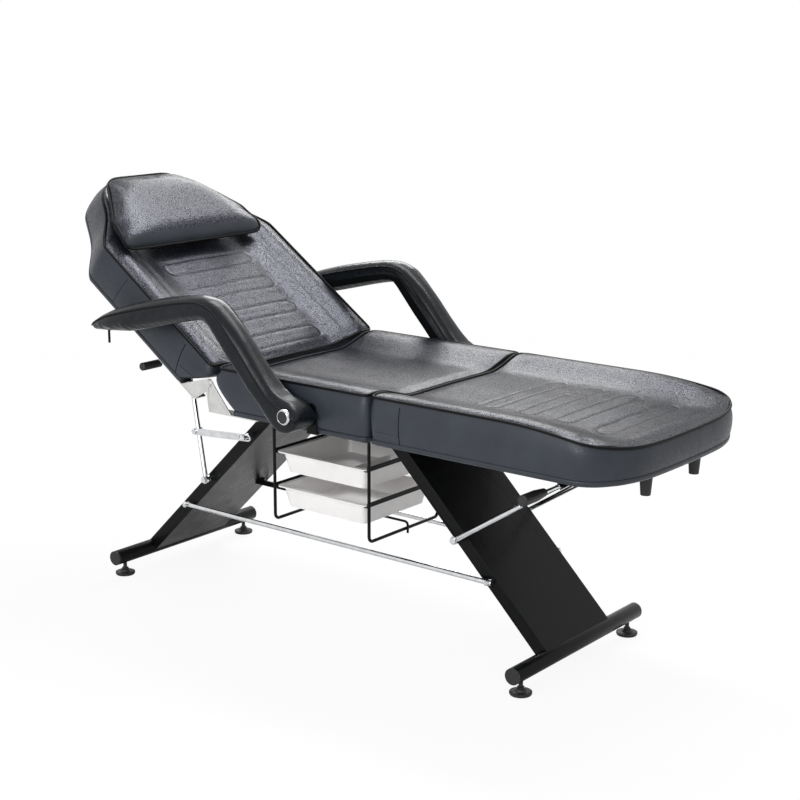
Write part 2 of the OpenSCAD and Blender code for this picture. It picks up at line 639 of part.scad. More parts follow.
// Hinge between the seat and the backrest: two leaves and a pin on each side
leaf_t = 3;
leaf_pin_d = 8;
leaf_eye_d = 24;
leaf_in = 3;
leaf_y = half_w - leaf_t - leaf_in;
leaf_wide = 36;
leaf_len = 84;
leaf_foot = 73;
module seat_hinge_leaves() {
    color(zinc) both() difference() {
        union() {
            box3(hinge_x, hinge_x + leaf_foot + leaf_len, leaf_y - leaf_wide, leaf_y + leaf_t,
                board_z - leaf_t, board_z);
            xz_plate(leaf_y, leaf_t) union() {
                disc_at([hinge_x, hinge_z], leaf_eye_d);
                polygon([[hinge_x - leaf_eye_d / 2, hinge_z], [hinge_x, board_z - leaf_t],
                    [hinge_x + leaf_foot, board_z - leaf_t], [hinge_x + leaf_foot, board_z],
                    [hinge_x + leaf_eye_d / 2, hinge_z + leaf_eye_d / 4],
                        [hinge_x, hinge_z + leaf_eye_d / 2]]);
            }
        }
        ybore([hinge_x, hinge_z], leaf_pin_d, leaf_y, leaf_y + leaf_t);
    }
}
pin_head_h = 3;
pin_head_share = 2;
back_leaf_y = leaf_y - leaf_t - part_gap;
module back_hinge_pins() {
    color(zinc) both() {
        ycyl([hinge_x, hinge_z], leaf_pin_d, back_leaf_y - slip - pin_head_h, leaf_y + leaf_t);
        ycyl([hinge_x, hinge_z], leaf_pin_d * pin_head_share, leaf_y + leaf_t, leaf_y + leaf_t + pin_head_h);
        ycyl([hinge_x, hinge_z], leaf_pin_d * pin_head_share, back_leaf_y - slip - pin_head_h,
            back_leaf_y - slip);
    }
}
back_leaf_from = 6;
back_leaf_to = 150;
back_web_to = 59;
hinge_screw_s = 41;
hinge_screw_d = 97;
hinge_screw_w = 7;
module backrest_hinge_leaves() {
    low = -cushion_t - board_t;
    color(zinc) on_back() both() difference() {
        union() {
            box3(back_leaf_from, back_leaf_to, back_leaf_y - leaf_wide, back_leaf_y + leaf_t,
                low - leaf_t, low);
            xz_plate(back_leaf_y, leaf_t) union() {
                disc_at([-hinge_gap, -hinge_drop], leaf_eye_d);
                polygon([[-hinge_gap - leaf_eye_d / 2, -hinge_drop], [back_leaf_from, low - leaf_t],
                    [back_web_to, low - leaf_t], [back_web_to, low],
                    [-hinge_gap + leaf_eye_d / 2, -hinge_drop + leaf_eye_d / 4],
                        [-hinge_gap, -hinge_drop + leaf_eye_d / 2]]);
            }
            ycyl([hinge_screw_s, -hinge_screw_d], hinge_screw_w * 2, back_leaf_y - leaf_t, back_leaf_y);
        }
        ybore([-hinge_gap, -hinge_drop], leaf_pin_d + 2 * fit, back_leaf_y, back_leaf_y + leaf_t);
    }
}

// Hinge between the seat and the leg rest: two butt hinges below the boards
butt_y = 200;
butt_len = 66;
knuckle_d = 10;
knuckle_pin_d = 5;
butt_leaf = 52;
butt_leaf_t = 3;
rest_hinge_x = seat_front_x + rest_gap / 2;
rest_hinge_z = board_z - butt_leaf_t - knuckle_d / 2 + over;
butt_knuckles = 3;
butt_third = butt_len / butt_knuckles;
module rest_hinge_leaves() {
    p = [rest_hinge_x, rest_hinge_z];
    color(zinc) for (s = [-1, 1]) difference() {
        union() {
            box3(rest_hinge_x - butt_leaf, rest_hinge_x - over, s * butt_y - butt_len / 2, s * butt_y
                + butt_len / 2,
                board_z - butt_leaf_t, board_z);
            for (e = [-1, 1]) ycyl(p, knuckle_d, s * butt_y + e * butt_third - butt_third / 2,
                s * butt_y + e * butt_third + butt_third / 2);
        }
        box3(rest_hinge_x - knuckle_d, rest_hinge_x + knuckle_d, s * butt_y - butt_third / 2 - part_gap,
            s * butt_y + butt_third / 2 + part_gap, rest_hinge_z - knuckle_d, board_z + over);
        ybore(p, knuckle_pin_d + 2 * fit, s * butt_y - butt_len / 2, s * butt_y + butt_len / 2);
    }
}
module rest_hinge_knuckles() {
    p = [rest_hinge_x, rest_hinge_z];
    color(zinc) for (s = [-1, 1]) {
        ycyl(p, knuckle_pin_d, s * butt_y - butt_len / 2, s * butt_y + butt_len / 2);
        ycyl(p, knuckle_d, s * butt_y - butt_third / 2, s * butt_y + butt_third / 2);
        box3(rest_hinge_x + knuckle_d, rest_hinge_x + butt_leaf, s * butt_y - butt_len / 2, s * butt_y
            + butt_len / 2,
            board_z - butt_leaf_t, board_z);
        box3(rest_hinge_x + over, rest_hinge_x + knuckle_d + over, s * butt_y - butt_third / 2,
            s * butt_y + butt_third / 2, board_z - butt_leaf_t, board_z);
    }
}

// Struts: their lower bolts on the legs, and where their upper ends lie
strut_stand = 11;
strut_eye_w = 12;
strut_y = leg_w / 2 + strut_stand + strut_eye_w / 2;
strut_eye_d = 20;
back_anchor_off = -7;
rest_anchor_off = 6;
back_a = [rear_leg_x(anchor_z) + back_anchor_off, anchor_z];
rest_a = [front_leg_x(anchor_z) - rest_anchor_off, anchor_z];
bracket_drop = 14.5;
function back_point(s, z) = let (fx = -(s + hinge_gap), fz = z + hinge_drop)
    [hinge_x + fx * cos(back_angle) + fz * sin(back_angle), hinge_z - fx * sin(back_angle)
        + fz * cos(back_angle)];
back_b = back_point(back_bracket_s, -cushion_t - board_t - bracket_drop);
rest_bracket_drop = 19;
rest_b = [rest_x + rest_bracket_s, board_z - rest_bracket_drop];
back_lie = atan2(back_b[1] - back_a[1], back_b[0] - back_a[0]);
rest_lie = atan2(rest_b[1] - rest_a[1], rest_b[0] - rest_a[0]);
back_reach = norm(back_b - back_a);
rest_reach = norm(rest_b - rest_a);
echo(back_a = back_a, back_b = back_b, back_lie = back_lie, back_reach = back_reach);
echo(rest_a = rest_a, rest_b = rest_b, rest_lie = rest_lie, rest_reach = rest_reach);
module along(p, lie) { translate([p[0], 0, p[1]]) rotate([0, -lie, 0]) children(); }
module strut_anchor(p) {
    ycyl(p, anchor_d, leg_w / 2 - leg_t - nut_h, strut_y + strut_eye_w / 2 + slip);
    yhex(p, anchor_d * bolt_head_share, leg_w / 2 - leg_t - nut_h, leg_w / 2 - leg_t);
    ycyl(p, anchor_d * bolt_head_share, leg_w / 2, strut_y - strut_eye_w / 2 - slip);
    yhex(p, anchor_d * bolt_head_share, strut_y + strut_eye_w / 2 + slip, strut_y + strut_eye_w / 2 + slip
        + bolt_head_h);
}
module back_strut_anchors() { color(chrome) both() strut_anchor(back_a); }
module rest_strut_anchors() { color(chrome) both() strut_anchor(rest_a); }
strut_floor = 13;
rod_gap = 0.1;
// The tube starts clear of the bolt's head, inside the eye's round
tube_clear = 0.5;
tube_from = anchor_d * bolt_head_share / 2 + tube_clear;
module strut_tube(length) {
    difference() {
        union() {
            translate([tube_from, strut_y, 0]) rotate([0, 90, 0])
                cylinder(d = strut_d, h = length - tube_from, $fn = 48);
            ycyl([0, 0], strut_eye_d, strut_y - strut_eye_w / 2, strut_y + strut_eye_w / 2);
        }
        ybore([0, 0], anchor_d + 2 * fit, strut_y - strut_eye_w / 2, strut_y + strut_eye_w / 2);
        translate([strut_floor, strut_y, 0]) rotate([0, 90, 0])
            cylinder(d = strut_rod_d + 2 * rod_gap, h = length, $fn = 48);
    }
}
module back_strut_tubes() { color(chrome) both() along(back_a, back_lie) strut_tube(back_tube_len); }
module rest_strut_tubes() { color(chrome) both() along(rest_a, rest_lie) strut_tube(rest_tube_len); }
upper_eye_d = 18;
upper_eye_w = 8;
upper_pin_d = 8;
module strut_rod(from, to) {
    difference() {
        union() {
            translate([from, strut_y, 0]) rotate([0, 90, 0])
                cylinder(d = strut_rod_d, h = to - from, $fn = 48);
            ycyl([to, 0], upper_eye_d, strut_y - upper_eye_w / 2, strut_y + upper_eye_w / 2);
        }
        ybore([to, 0], upper_pin_d, strut_y - upper_eye_w / 2, strut_y + upper_eye_w / 2);
    }
    ycyl([to, 0], upper_pin_d, strut_y - upper_eye_w / 2, strut_y + upper_eye_w / 2 + bolt_head_h / 2);
    yhex([to, 0], upper_pin_d * bolt_head_share, strut_y + upper_eye_w / 2, strut_y + upper_eye_w / 2
        + bolt_head_h);
}
back_rod_in = 156.5;
rest_rod_in = 190;
module back_strut_rods() { color(chrome) both() along(back_a, back_lie) strut_rod(back_rod_in, back_reach); }
module rest_strut_rods() { color(chrome) both() along(rest_a, rest_lie) strut_rod(rest_rod_in, rest_reach); }

// Brackets under the boards beside the struts' upper eyes
strut_bracket_t = 3.5;
strut_bracket_y = strut_y - strut_rod_d / 2 - part_gap - strut_bracket_t;
strut_bracket_half = 24;
strut_bracket_wide = 28;
module strut_bracket(s, low, drop) {
    box3(s - strut_bracket_half, s + strut_bracket_half, strut_bracket_y - strut_bracket_wide,
        strut_bracket_y + strut_bracket_t, low - bracket_t, low);
    xz_plate(strut_bracket_y, strut_bracket_t) union() {
        disc_at([s, low - drop], upper_eye_d + bracket_t);
        polygon([[s - strut_bracket_half, low - bracket_t], [s + strut_bracket_half, low - bracket_t],
            [s + upper_eye_d / 2, low - drop], [s - upper_eye_d / 2, low - drop]]);
    }
}
module back_strut_brackets() {
    color(paint) on_back() both() strut_bracket(back_bracket_s, -cushion_t - board_t, bracket_drop);
}
module rest_strut_brackets() {
    color(paint) on_rest() both() strut_bracket(rest_bracket_s, -cushion_t - board_t, rest_bracket_drop);
}

// Stays from the legs to collars on the backrest struts' tubes
stay_z = 421;
stay_at = 128;
stay_t = 3;
collar_d = 22;
collar_w = 16;
stud_d = 8;
stay_off = 1;
stay_y = strut_y + collar_d / 2 + stay_off;
stay_c = back_a + stay_at * [cos(back_lie), sin(back_lie)];
stay_d = [rear_leg_x(stay_z), stay_z];
stay_lie = atan2(stay_d[1] - stay_c[1], stay_d[0] - stay_c[0]);
stay_len = norm(stay_d - stay_c);
echo(stay_c = stay_c, stay_d = stay_d, stay_lie = stay_lie, stay_len = stay_len);
slot_back = 8;
slot_on = 16;
slot_w = 10.4;
stay_half = 9;
module stay_collars() {
    color(chrome) both() {
        along(back_a, back_lie) difference() {
            translate([stay_at - collar_w / 2, strut_y, 0]) rotate([0, 90, 0])
                cylinder(d = collar_d, h = collar_w, $fn = 48);
            translate([stay_at - collar_w / 2 - over, strut_y, 0]) rotate([0, 90, 0])
                cylinder(d = strut_d, h = collar_w + 2 * over, $fn = 48);
        }
        difference() {
            union() {
                ycyl(stay_c, stud_d, strut_y, stay_y + stay_t + slip);
                ycyl(stay_c, stud_d * bolt_head_share, stay_y + stay_t + slip, stay_y + stay_t + slip
                    + bolt_head_h);
            }
            along(back_a, back_lie) translate([stay_at - collar_w, strut_y, 0]) rotate([0, 90, 0])
                cylinder(d = (collar_d + strut_d) / 2, h = 2 * collar_w, $fn = 48);
        }
    }
}
module stay_anchors() {
    color(chrome) both() {
        ycyl(stay_d, stay_bolt_d, leg_w / 2 - leg_t - nut_h, stay_y + stay_t + slip);
        yhex(stay_d, stay_bolt_d * bolt_head_share, leg_w / 2 - leg_t - nut_h, leg_w / 2 - leg_t);
        ycyl(stay_d, stay_bolt_d * bolt_head_share, leg_w / 2, stay_y - slip);
        yhex(stay_d, stay_bolt_d * 2, stay_y + stay_t + slip, stay_y + stay_t + slip + bolt_head_h);
    }
}
module back_stays() {
    color(chrome) both() translate([stay_c[0], 0, stay_c[1]]) rotate([0, -stay_lie, 0])
        xz_plate(stay_y, stay_t)
        difference() {
            union() {
                circle(r = stay_half, $fn = 48);
                translate([0, -stay_half]) square([stay_len + slot_on, 2 * stay_half]);
                translate([stay_len + slot_on, 0]) circle(r = stay_half, $fn = 48);
            }
            circle(d = stud_d + 2 * fit, $fn = 48);
            translate([stay_len - slot_back, -slot_w / 2]) square([slot_back + slot_on, slot_w]);
            translate([stay_len - slot_back, 0]) circle(d = slot_w, $fn = 48);
            translate([stay_len + slot_on, 0]) circle(d = slot_w, $fn = 48);
        }
}

// Release levers: a plate on the strut's rod carries the lever's fork
lever_plate_off = 3;
plate_y = strut_y + upper_eye_w / 2 + lever_plate_off;
lever_plate_t = 3;
lever_plate_w = 16;
fork_t = 3;
fork_gap = 0.3;
barrel_d = 11;
barrel_w = 10;
barrel_pin_d = 5;
barrel_off = 9;
barrel_y = plate_y + lever_plate_t + barrel_off;
module lever_plate(reach, at) {
    difference() {
        union() {
            translate([at - lever_plate_w / 2, plate_y, -lever_plate_w / 2])
                cube([reach - at + lever_plate_w, lever_plate_t, lever_plate_w]);
            for (e = [-1, 1]) translate([at + e * (barrel_w + fork_t + 2 * fork_gap) / 2 - fork_t / 2, 0, 0])
                rotate([0, 90, 0]) linear_extrude(fork_t) union() {
                    translate([-barrel_d / 2, plate_y]) square([barrel_d, barrel_y - plate_y]);
                    translate([0, barrel_y]) circle(d = barrel_d, $fn = 48);
                }
        }
        ybore([reach, 0], upper_pin_d * bolt_head_share + over, plate_y, plate_y + lever_plate_t);
        translate([at - lever_plate_w, barrel_y, 0]) rotate([0, 90, 0])
            cylinder(d = barrel_pin_d, h = 2 * lever_plate_w, $fn = 48);
    }
    translate([at - barrel_w / 2 - fork_t - fork_gap, barrel_y, 0]) rotate([0, 90, 0])
        cylinder(d = barrel_pin_d, h = barrel_w + 2 * fork_t + 2 * fork_gap, $fn = 48);
    difference() {
        ycyl([reach, 0], upper_pin_d * 2, strut_y + upper_eye_w / 2, plate_y + lever_plate_t);
        ybore([reach, 0], upper_pin_d * bolt_head_share + over, strut_y, plate_y + lever_plate_t);
    }
}
back_lever_at = 52;
rest_lever_at = 60;
module mirror_near() { mirror([0, 1, 0]) children(); }
module back_lever_plate() {
    color(paint) mirror_near() along(back_a, back_lie) lever_plate(back_reach, back_reach - back_lever_at);
}
module rest_lever_plate() {
    color(paint) mirror_near() along(rest_a, rest_lie) lever_plate(rest_reach, rest_reach - rest_lever_at);
}
module lever_rod(at, reach_y) {
    difference() {
        union() {
            translate([at - barrel_w / 2, barrel_y, 0]) rotate([0, 90, 0])
                cylinder(d = barrel_d, h = barrel_w, $fn = 48);
            ycyl([at, 0], lever_d, barrel_y, reach_y);
        }
        translate([at - barrel_w, barrel_y, 0]) rotate([0, 90, 0])
            cylinder(d = barrel_pin_d + 2 * fit, h = barrel_w * 2, $fn = 48);
    }
}
grip_wall_end = 12;
back_grip_len = 62;
back_grip_d = 20;
rest_grip_len = 83;
rest_grip_d = 25;
rest_grip_neck = 18;
module back_lever_rod() {
    color(chrome) mirror_near() along(back_a, back_lie)
        lever_rod(back_reach - back_lever_at, lever_reach - grip_wall_end);
}
module rest_lever_rod() {
    color(chrome) mirror_near() along(rest_a, rest_lie)
        lever_rod(rest_reach - rest_lever_at, lever_reach - grip_wall_end);
}
module grip(at, length, d, neck) {
    translate([at, lever_reach - length, 0]) rotate([-90, 0, 0]) rotate_extrude($fn = 48)
        polygon([[lever_d / 2, 0], [neck / 2, 0], [d / 2, length * grip_neck_share],
            [d / 2, length - grip_round],
            [d / 2 - grip_round, length], [0, length], [0, length - grip_wall_end],
                [lever_d / 2, length - grip_wall_end]]);
}
grip_neck_share = 0.4;
grip_round = 3;
module back_lever_grip() {
    color(rubber) mirror_near() along(back_a, back_lie)
        grip(back_reach - back_lever_at, back_grip_len, back_grip_d, back_grip_d);
}
module rest_lever_grip() {
    color(rubber) mirror_near() along(rest_a, rest_lie)
        grip(rest_reach - rest_lever_at, rest_grip_len, rest_grip_d, rest_grip_neck);
}

// Rubber bumpers under the leg rest's end
bumper_h = 52;
bumper_d = 30;
bumper_end_d = 22;
bumper_s = 587;
bumper_y = 105;
module rest_bumpers() {
    color(rubber) for (s = [-1, 1]) translate([rest_x + bumper_s, s * bumper_y, board_z - bumper_h])
        cylinder(d1 = bumper_end_d, d2 = bumper_d, h = bumper_h, $fn = 48);
}

// Armrests: rings through pairs of points on the crest and the underside,
// measured from the pivot as shares of the armrest's length
arm_crest_shares = [[-1.000, 0.184], [-0.975, 0.202], [-0.930, 0.226], [-0.875, 0.250], [-0.789, 0.278],
    [-0.689, 0.304], [-0.595, 0.324], [-0.518, 0.339], [-0.461, 0.348], [-0.417, 0.350], [-0.372, 0.342],
    [-0.339, 0.326], [-0.308, 0.299], [-0.275, 0.269], [-0.223, 0.214], [-0.176, 0.158], [-0.128, 0.104],
    [-0.092, 0.068], [-0.054, 0.046], [-0.018, 0.037], [0.012, 0.027], [0.033, 0.006], [0.043, -0.012]];
arm_under_shares = [[-0.996, 0.173], [-0.960, 0.170], [-0.920, 0.179], [-0.863, 0.187], [-0.774, 0.196],
    [-0.673, 0.219], [-0.583, 0.241], [-0.506, 0.260], [-0.452, 0.272], [-0.420, 0.278], [-0.396, 0.281],
    [-0.381, 0.278], [-0.362, 0.260], [-0.335, 0.228], [-0.283, 0.167], [-0.235, 0.116], [-0.185, 0.060],
    [-0.137, 0.016], [-0.098, -0.021], [-0.062, -0.052], [-0.033, -0.065], [0.000, -0.062], [0.030, -0.045]];
// Width of each ring, and how square its shoulders are
arm_wide_shares = [0.2, 0.5, 0.76, 0.92, 1, 1, 1, 1, 1, 1, 1, 1, 1, 1, 1, 1, 1, 1, 1, 1, 1, 0.97, 0.86];
arm_square_shares = [0, 0, 0, 0, 0, 0, 0, 0, 0, 0, 0, 0, 0, 0, 0, 0.1, 0.3, 0.6, 0.9, 1, 1, 1, 1];
// Half ring from the underside to the crest: domed and square shoulders
domed_shares = [[0.70, 0], [0.95, 0.06], [1, 0.18], [1, 0.34], [0.95, 0.42], [0.80, 0.74], [0.48, 0.94]];
square_shares = [[0.70, 0], [0.95, 0.06], [1, 0.18], [1, 0.50], [1, 0.72], [0.96, 0.90], [0.60, 1]];
function ring_of(k) = let (a = arm_under_shares[k] * arm_len,
    e = (arm_crest_shares[k] - arm_under_shares[k]) * arm_len,
    w = arm_w / 2 * arm_wide_shares[k], s = arm_square_shares[k],
    half = [for (i = [0:len(domed_shares) - 1]) domed_shares[i] * (1 - s) + square_shares[i] * s])
    concat([for (p = half) [a[0] + e[0] * p[1], w * p[0], a[1] + e[1] * p[1]]],
        [[a[0] + e[0], 0, a[1] + e[1]]],
        [for (p = flip(half)) [a[0] + e[0] * p[1], -w * p[0], a[1] + e[1] * p[1]]]);
module on_arm() { translate([arm_pivot_x, arm_in_y + arm_plate_t + slip + arm_w / 2, arm_z]) children(); }
module arm_pad() {
    n = len(arm_crest_shares) - 1;
    rings = [for (k = [0:n]) ring_of(k)];
    m = len(rings[0]);
    pts = [for (r = rings) for (p = r) p];
    sides = [for (k = [0:n - 1]) for (i = [0:m - 1]) for (f = [0, 1])
        let (a = k * m + i, b = k * m + (i + 1) % m) f == 0 ? [a, b + m, b] : [a, a + m, b + m]];
    caps = concat([for (i = [1:m - 2]) [0, i, i + 1]],
        [for (i = [1:m - 2]) [n * m, n * m + i + 1, n * m + i]]);
    polyhedron(pts, concat(sides, caps));
}
module arm_pad_near() { color(hide) mirror_near() on_arm() arm_pad(); }
module arm_pad_far() { color(hide) on_arm() arm_pad(); }
plate_low_share = 0.10;
plate_high_share = 0.40;
plate_first = 4;
plate_end = 17;
plate_end_share = 0.8;
arm_eye_d = 30;
stop_pin_d = 6;
stop_pin_h = 36;
stop_pin_share = 0.915;
stop_under_share = 0.1789;
module arm_plate() {
    rows = [for (k = [plate_first:len(arm_crest_shares) - 2]) k];
    function rise(k, s) = (arm_under_shares[k] * (1 - s) + arm_crest_shares[k] * s) * arm_len;
    difference() {
        translate([arm_pivot_x, 0, arm_z]) xz_plate(arm_in_y, arm_plate_t) union() {
            polygon(concat([for (k = rows) rise(k, plate_low_share)],
                [for (k = flip(rows)) rise(k, k < plate_end ? plate_high_share : plate_end_share)]));
            circle(d = arm_eye_d, $fn = 48);
        }
        ybore([arm_pivot_x, arm_z], arm_bolt_d + 2 * fit, arm_in_y, arm_in_y + arm_plate_t);
    }
    on_arm() translate([-stop_pin_share * arm_len, 0, stop_under_share * arm_len - stop_pin_h])
        cylinder(d = stop_pin_d, h = stop_pin_h, $fn = 32);
}
module arm_plate_near() { color(paint) mirror_near() arm_plate(); }
module arm_plate_far() { color(paint) arm_plate(); }
arm_cap_h = 8;
arm_cap_edge = 2.5;
module arm_caps() {
    translate([arm_pivot_x, arm_in_y + arm_plate_t + slip + arm_w, arm_z]) rotate([-90, 0, 0])
        rotate_extrude($fn = 64)
            polygon([[0, 0], [arm_cap_d / 2, 0], [arm_cap_d / 2, arm_cap_h - arm_cap_edge],
            [arm_cap_d / 2 - arm_cap_edge, arm_cap_h], [0, arm_cap_h]]);
}
module arm_caps_near() { color(chrome) mirror_near() arm_caps(); }
module arm_caps_far() { color(chrome) arm_caps(); }

// Trays: a drafted tub with a flat rim that runs on the rack's angle rails
tray_half_w = wire_y + tray_over;
rim_gap = 1;
rim_over = 10;
draft = 11;
tub_r = 14;
rim_x0 = rack_in_rear + angle_t + rim_gap;
rim_x1 = rack_in_front - angle_t - rim_gap;
rib_x = -15;
rib_t = 3;
rib_h = 14;
module round_slab(x0, x1, hy, r, z, t) {
    translate([0, 0, z]) linear_extrude(t) union() {
        translate([x0 + r, -hy]) square([x1 - x0 - 2 * r, 2 * hy]);
        translate([x0, -hy + r]) square([x1 - x0, 2 * hy - 2 * r]);
        for (x = [x0 + r, x1 - r]) for (y = [-hy + r, hy - r]) translate([x, y]) circle(r = r, $fn = 32);
    }
}
module tub(inset, z0, z1, skin) {
    hull() {
        round_slab(rim_x0 + rim_over + inset, rim_x1 - rim_over - inset, tray_half_w - rim_over - inset,
            tub_r - inset, z1 - skin, skin);
        round_slab(rim_x0 + rim_over + draft + inset, rim_x1 - rim_over - draft - inset,
            tray_half_w - rim_over - draft - inset, tub_r - inset, z0, skin);
    }
}
skin_t = 0.5;
module tray(top, with_rib) {
    difference() {
        union() {
            tub(0, top - tray_h, top, skin_t);
            round_slab(rim_x0, rim_x1, tray_half_w, tub_r, top - rim_t, rim_t);
        }
        tub(tray_wall, top - tray_h + tray_wall, top + over, skin_t);
    }
    if (with_rib) box3(rib_x - rib_t / 2, rib_x + rib_t / 2, -tray_half_w + rim_over + draft + tray_wall,
        tray_half_w - rim_over - draft - tray_wall, top - tray_h + tray_wall / 2, top - tray_h + tray_wall
            + rib_h);
}
module tray_upper() { color(tray_white) tray(tray_top_z, true); }
module tray_lower() { color(tray_white) tray(tray_top_z - tray_pitch, false); }

rear_foot_bar();
front_foot_bar();
foot_bar_caps();
rear_leg();
front_leg();
leg_screws();
seat_frame();
seat_board();
seat_cushion();
tie_rods();
tie_rod_bolts();
rack_wire_rear();
rack_wire_front();
rack_rails();
rack_cross_wire();
rack_strap();
arm_brackets();
arm_pivot_bolts();
seat_hinge_leaves();
back_hinge_pins();
rest_hinge_leaves();
back_strut_anchors();
stay_anchors();
rest_strut_anchors();
foot_rear_near();
foot_rear_far();
foot_front_near();
foot_front_far();
backrest_board();
backrest_cushion();
backrest_hinge_leaves();
back_strut_brackets();
head_pillow();
back_strut_tubes();
stay_collars();
back_strut_rods();
back_lever_plate();
back_stays();
back_lever_rod();
back_lever_grip();
rest_board();
rest_cushion();
rest_bumpers();
rest_strut_brackets();
rest_hinge_knuckles();
rest_strut_tubes();
rest_strut_rods();
rest_lever_plate();
rest_lever_rod();
rest_lever_grip();
arm_pad_near();
arm_pad_far();
arm_plate_near();
arm_plate_far();
arm_caps_near();
arm_caps_far();
tray_upper();
tray_lower();
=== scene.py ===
"""Upholstery, finishes and stage for a three-section treatment bed.

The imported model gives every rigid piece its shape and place. This script dresses
it: cushions, pillow and armrests with their piping and seams, and a procedural
material for each surface. Run it in Blender 4.5 as a script.
"""

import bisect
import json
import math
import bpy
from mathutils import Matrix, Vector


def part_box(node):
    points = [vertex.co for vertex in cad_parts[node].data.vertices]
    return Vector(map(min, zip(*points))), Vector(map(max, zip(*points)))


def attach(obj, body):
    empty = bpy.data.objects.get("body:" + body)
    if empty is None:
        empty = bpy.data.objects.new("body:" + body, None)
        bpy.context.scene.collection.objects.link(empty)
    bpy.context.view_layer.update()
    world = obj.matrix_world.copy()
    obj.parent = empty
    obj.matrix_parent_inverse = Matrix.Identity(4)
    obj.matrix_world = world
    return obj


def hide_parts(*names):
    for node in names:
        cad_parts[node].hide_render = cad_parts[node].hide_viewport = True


bl_info = {
    "name": "Treatment Bed Upholstery",
    "version": (1, 0, 0),
    "blender": (4, 5, 0),
    "location": "3D View > Sidebar > Treatment Bed",
    "description": "Dresses a three-section treatment bed with cushions, piping and finishes",
    "category": "Object",
}

import bmesh
import bpy
from mathutils import Matrix, Vector
from mathutils.bvhtree import BVHTree

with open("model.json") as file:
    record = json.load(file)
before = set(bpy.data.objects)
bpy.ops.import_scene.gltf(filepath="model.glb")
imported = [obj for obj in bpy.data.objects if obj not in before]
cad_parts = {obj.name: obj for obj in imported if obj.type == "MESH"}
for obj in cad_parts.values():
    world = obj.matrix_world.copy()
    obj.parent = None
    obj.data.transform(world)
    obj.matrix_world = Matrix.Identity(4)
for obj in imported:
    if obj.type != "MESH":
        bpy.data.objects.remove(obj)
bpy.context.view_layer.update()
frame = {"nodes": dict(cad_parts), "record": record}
MM = 0.001

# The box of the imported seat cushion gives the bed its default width
SEAT_LOW, SEAT_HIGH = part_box("seat_cushion")

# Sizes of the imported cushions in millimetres, and the places of their frames in metres
TOP_Z = 0.629
SEAT_LENGTH = 461
SEAT_REAR = -0.207
BACK_LENGTH = 752
BACK_ANGLE = 35
BACK_HINGE = (-0.237, 0, 0.584)
BACK_FROM_HINGE = (0.012, 0, 0.045)
REST_LENGTH = 632
REST_REAR = 0.259
PILLOW_LENGTH = 278
PILLOW_HALF = 246
PILLOW_FROM = 402
PILLOW_ASIDE = 20
CORNER = 16

# Seams in millimetres: the piping's way in and down from a cushion's edge
PIPING_IN = 3.0
PIPING_DOWN = 1.8

# Loops of the leathercloth round a board's edge: way out from the cushion's base, and up from it
WRAP_OUTER = [(-1.0, 0.1), (-1.0, -4), (-1.8, -8.5), (-4.5, -12), (-10, -13), (-34, -13)]
WRAP_INNER = [(-34, -12.2), (-10, -12.2), (-5, -11.4), (-2.6, -8.3), (-2, -4), (-2, 0)]
WRAP_LOOPS = WRAP_OUTER + WRAP_INNER
COVER_IN = 20
COVER_DOWN = 13.1
COVER_THICK = 0.5

# Loops down a side: way out, drop, share of the height, and give in millimetres where it is set
SIDE_ROWS = [
    (-6.5, -1.5, 0, 0.5),
    (-5.0, -5.5, 0, 0),
    (-2.2, -11, 0, None),
    (1.0, 0, 0.24, None),
    (2.6, 0, 0.42, None),
    (2.4, 0, 0.60, None),
    (1.0, 0, 0.80, None),
    (-0.8, 0, 0.93, None),
    (-1.8, 0, 1.0, 0),
]
PILLOW_ROWS = [
    (-6.5, -1.5, 0, 0.5),
    (-5.0, -5.0, 0, 0),
    (-8.0, -9, 0, None),
    (-14, 0, 0.75, None),
    (-22, 0, 1.0, 0),
]


def length_setting(name, description, default, precision=2):
    """A length that the user can set, in metres."""
    return bpy.props.FloatProperty(
        name=name,
        description=description,
        default=default,
        precision=precision,
        subtype="DISTANCE",
        unit="LENGTH",
    )


def colour_setting(name, description, default):
    """A colour that the user can set, as an sRGB hex value."""
    return bpy.props.StringProperty(name=name, description=description, default=default)


class BedSizes(bpy.types.PropertyGroup):
    """Sizes of the upholstery."""

    bed_width: length_setting("Bed width", "Width across the cushions", SEAT_HIGH.y - SEAT_LOW.y)
    cushion_height: length_setting("Cushion height", "Height of a cushion above its board", 0.098)
    dish_depth: length_setting("Dish depth", "Depth of the dish between its bolsters", 0.024)
    piping_diameter: length_setting("Piping diameter", "Diameter of the covered cord", 0.0064)
    cell: length_setting("Cell size", "Size of a cushion's mesh cells before it is subdivided", 0.012)
    grain: length_setting("Grain size", "Size of a drawn cell of the pressed grain", 0.0042, 5)


class BedColours(bpy.types.PropertyGroup):
    """Colours of the finishes."""

    grained: colour_setting("Grained leathercloth", "Colour of the tops", "#16181F")
    plain: colour_setting("Plain leathercloth", "Colour of the sides", "#2B3038")
    armrest: colour_setting("Armrest leathercloth", "Colour of the armrests", "#161C22")
    paint: colour_setting("Powder coat", "Colour of the painted steel", "#0C0D0E")
    tray: colour_setting("Trays", "Colour of the moulded trays", "#EFEDEC")


def sizes():
    """The upholstery sizes of this scene."""
    return bpy.context.scene.bed_sizes


def colours():
    """The finish colours of this scene."""
    return bpy.context.scene.bed_colours


# Shapes


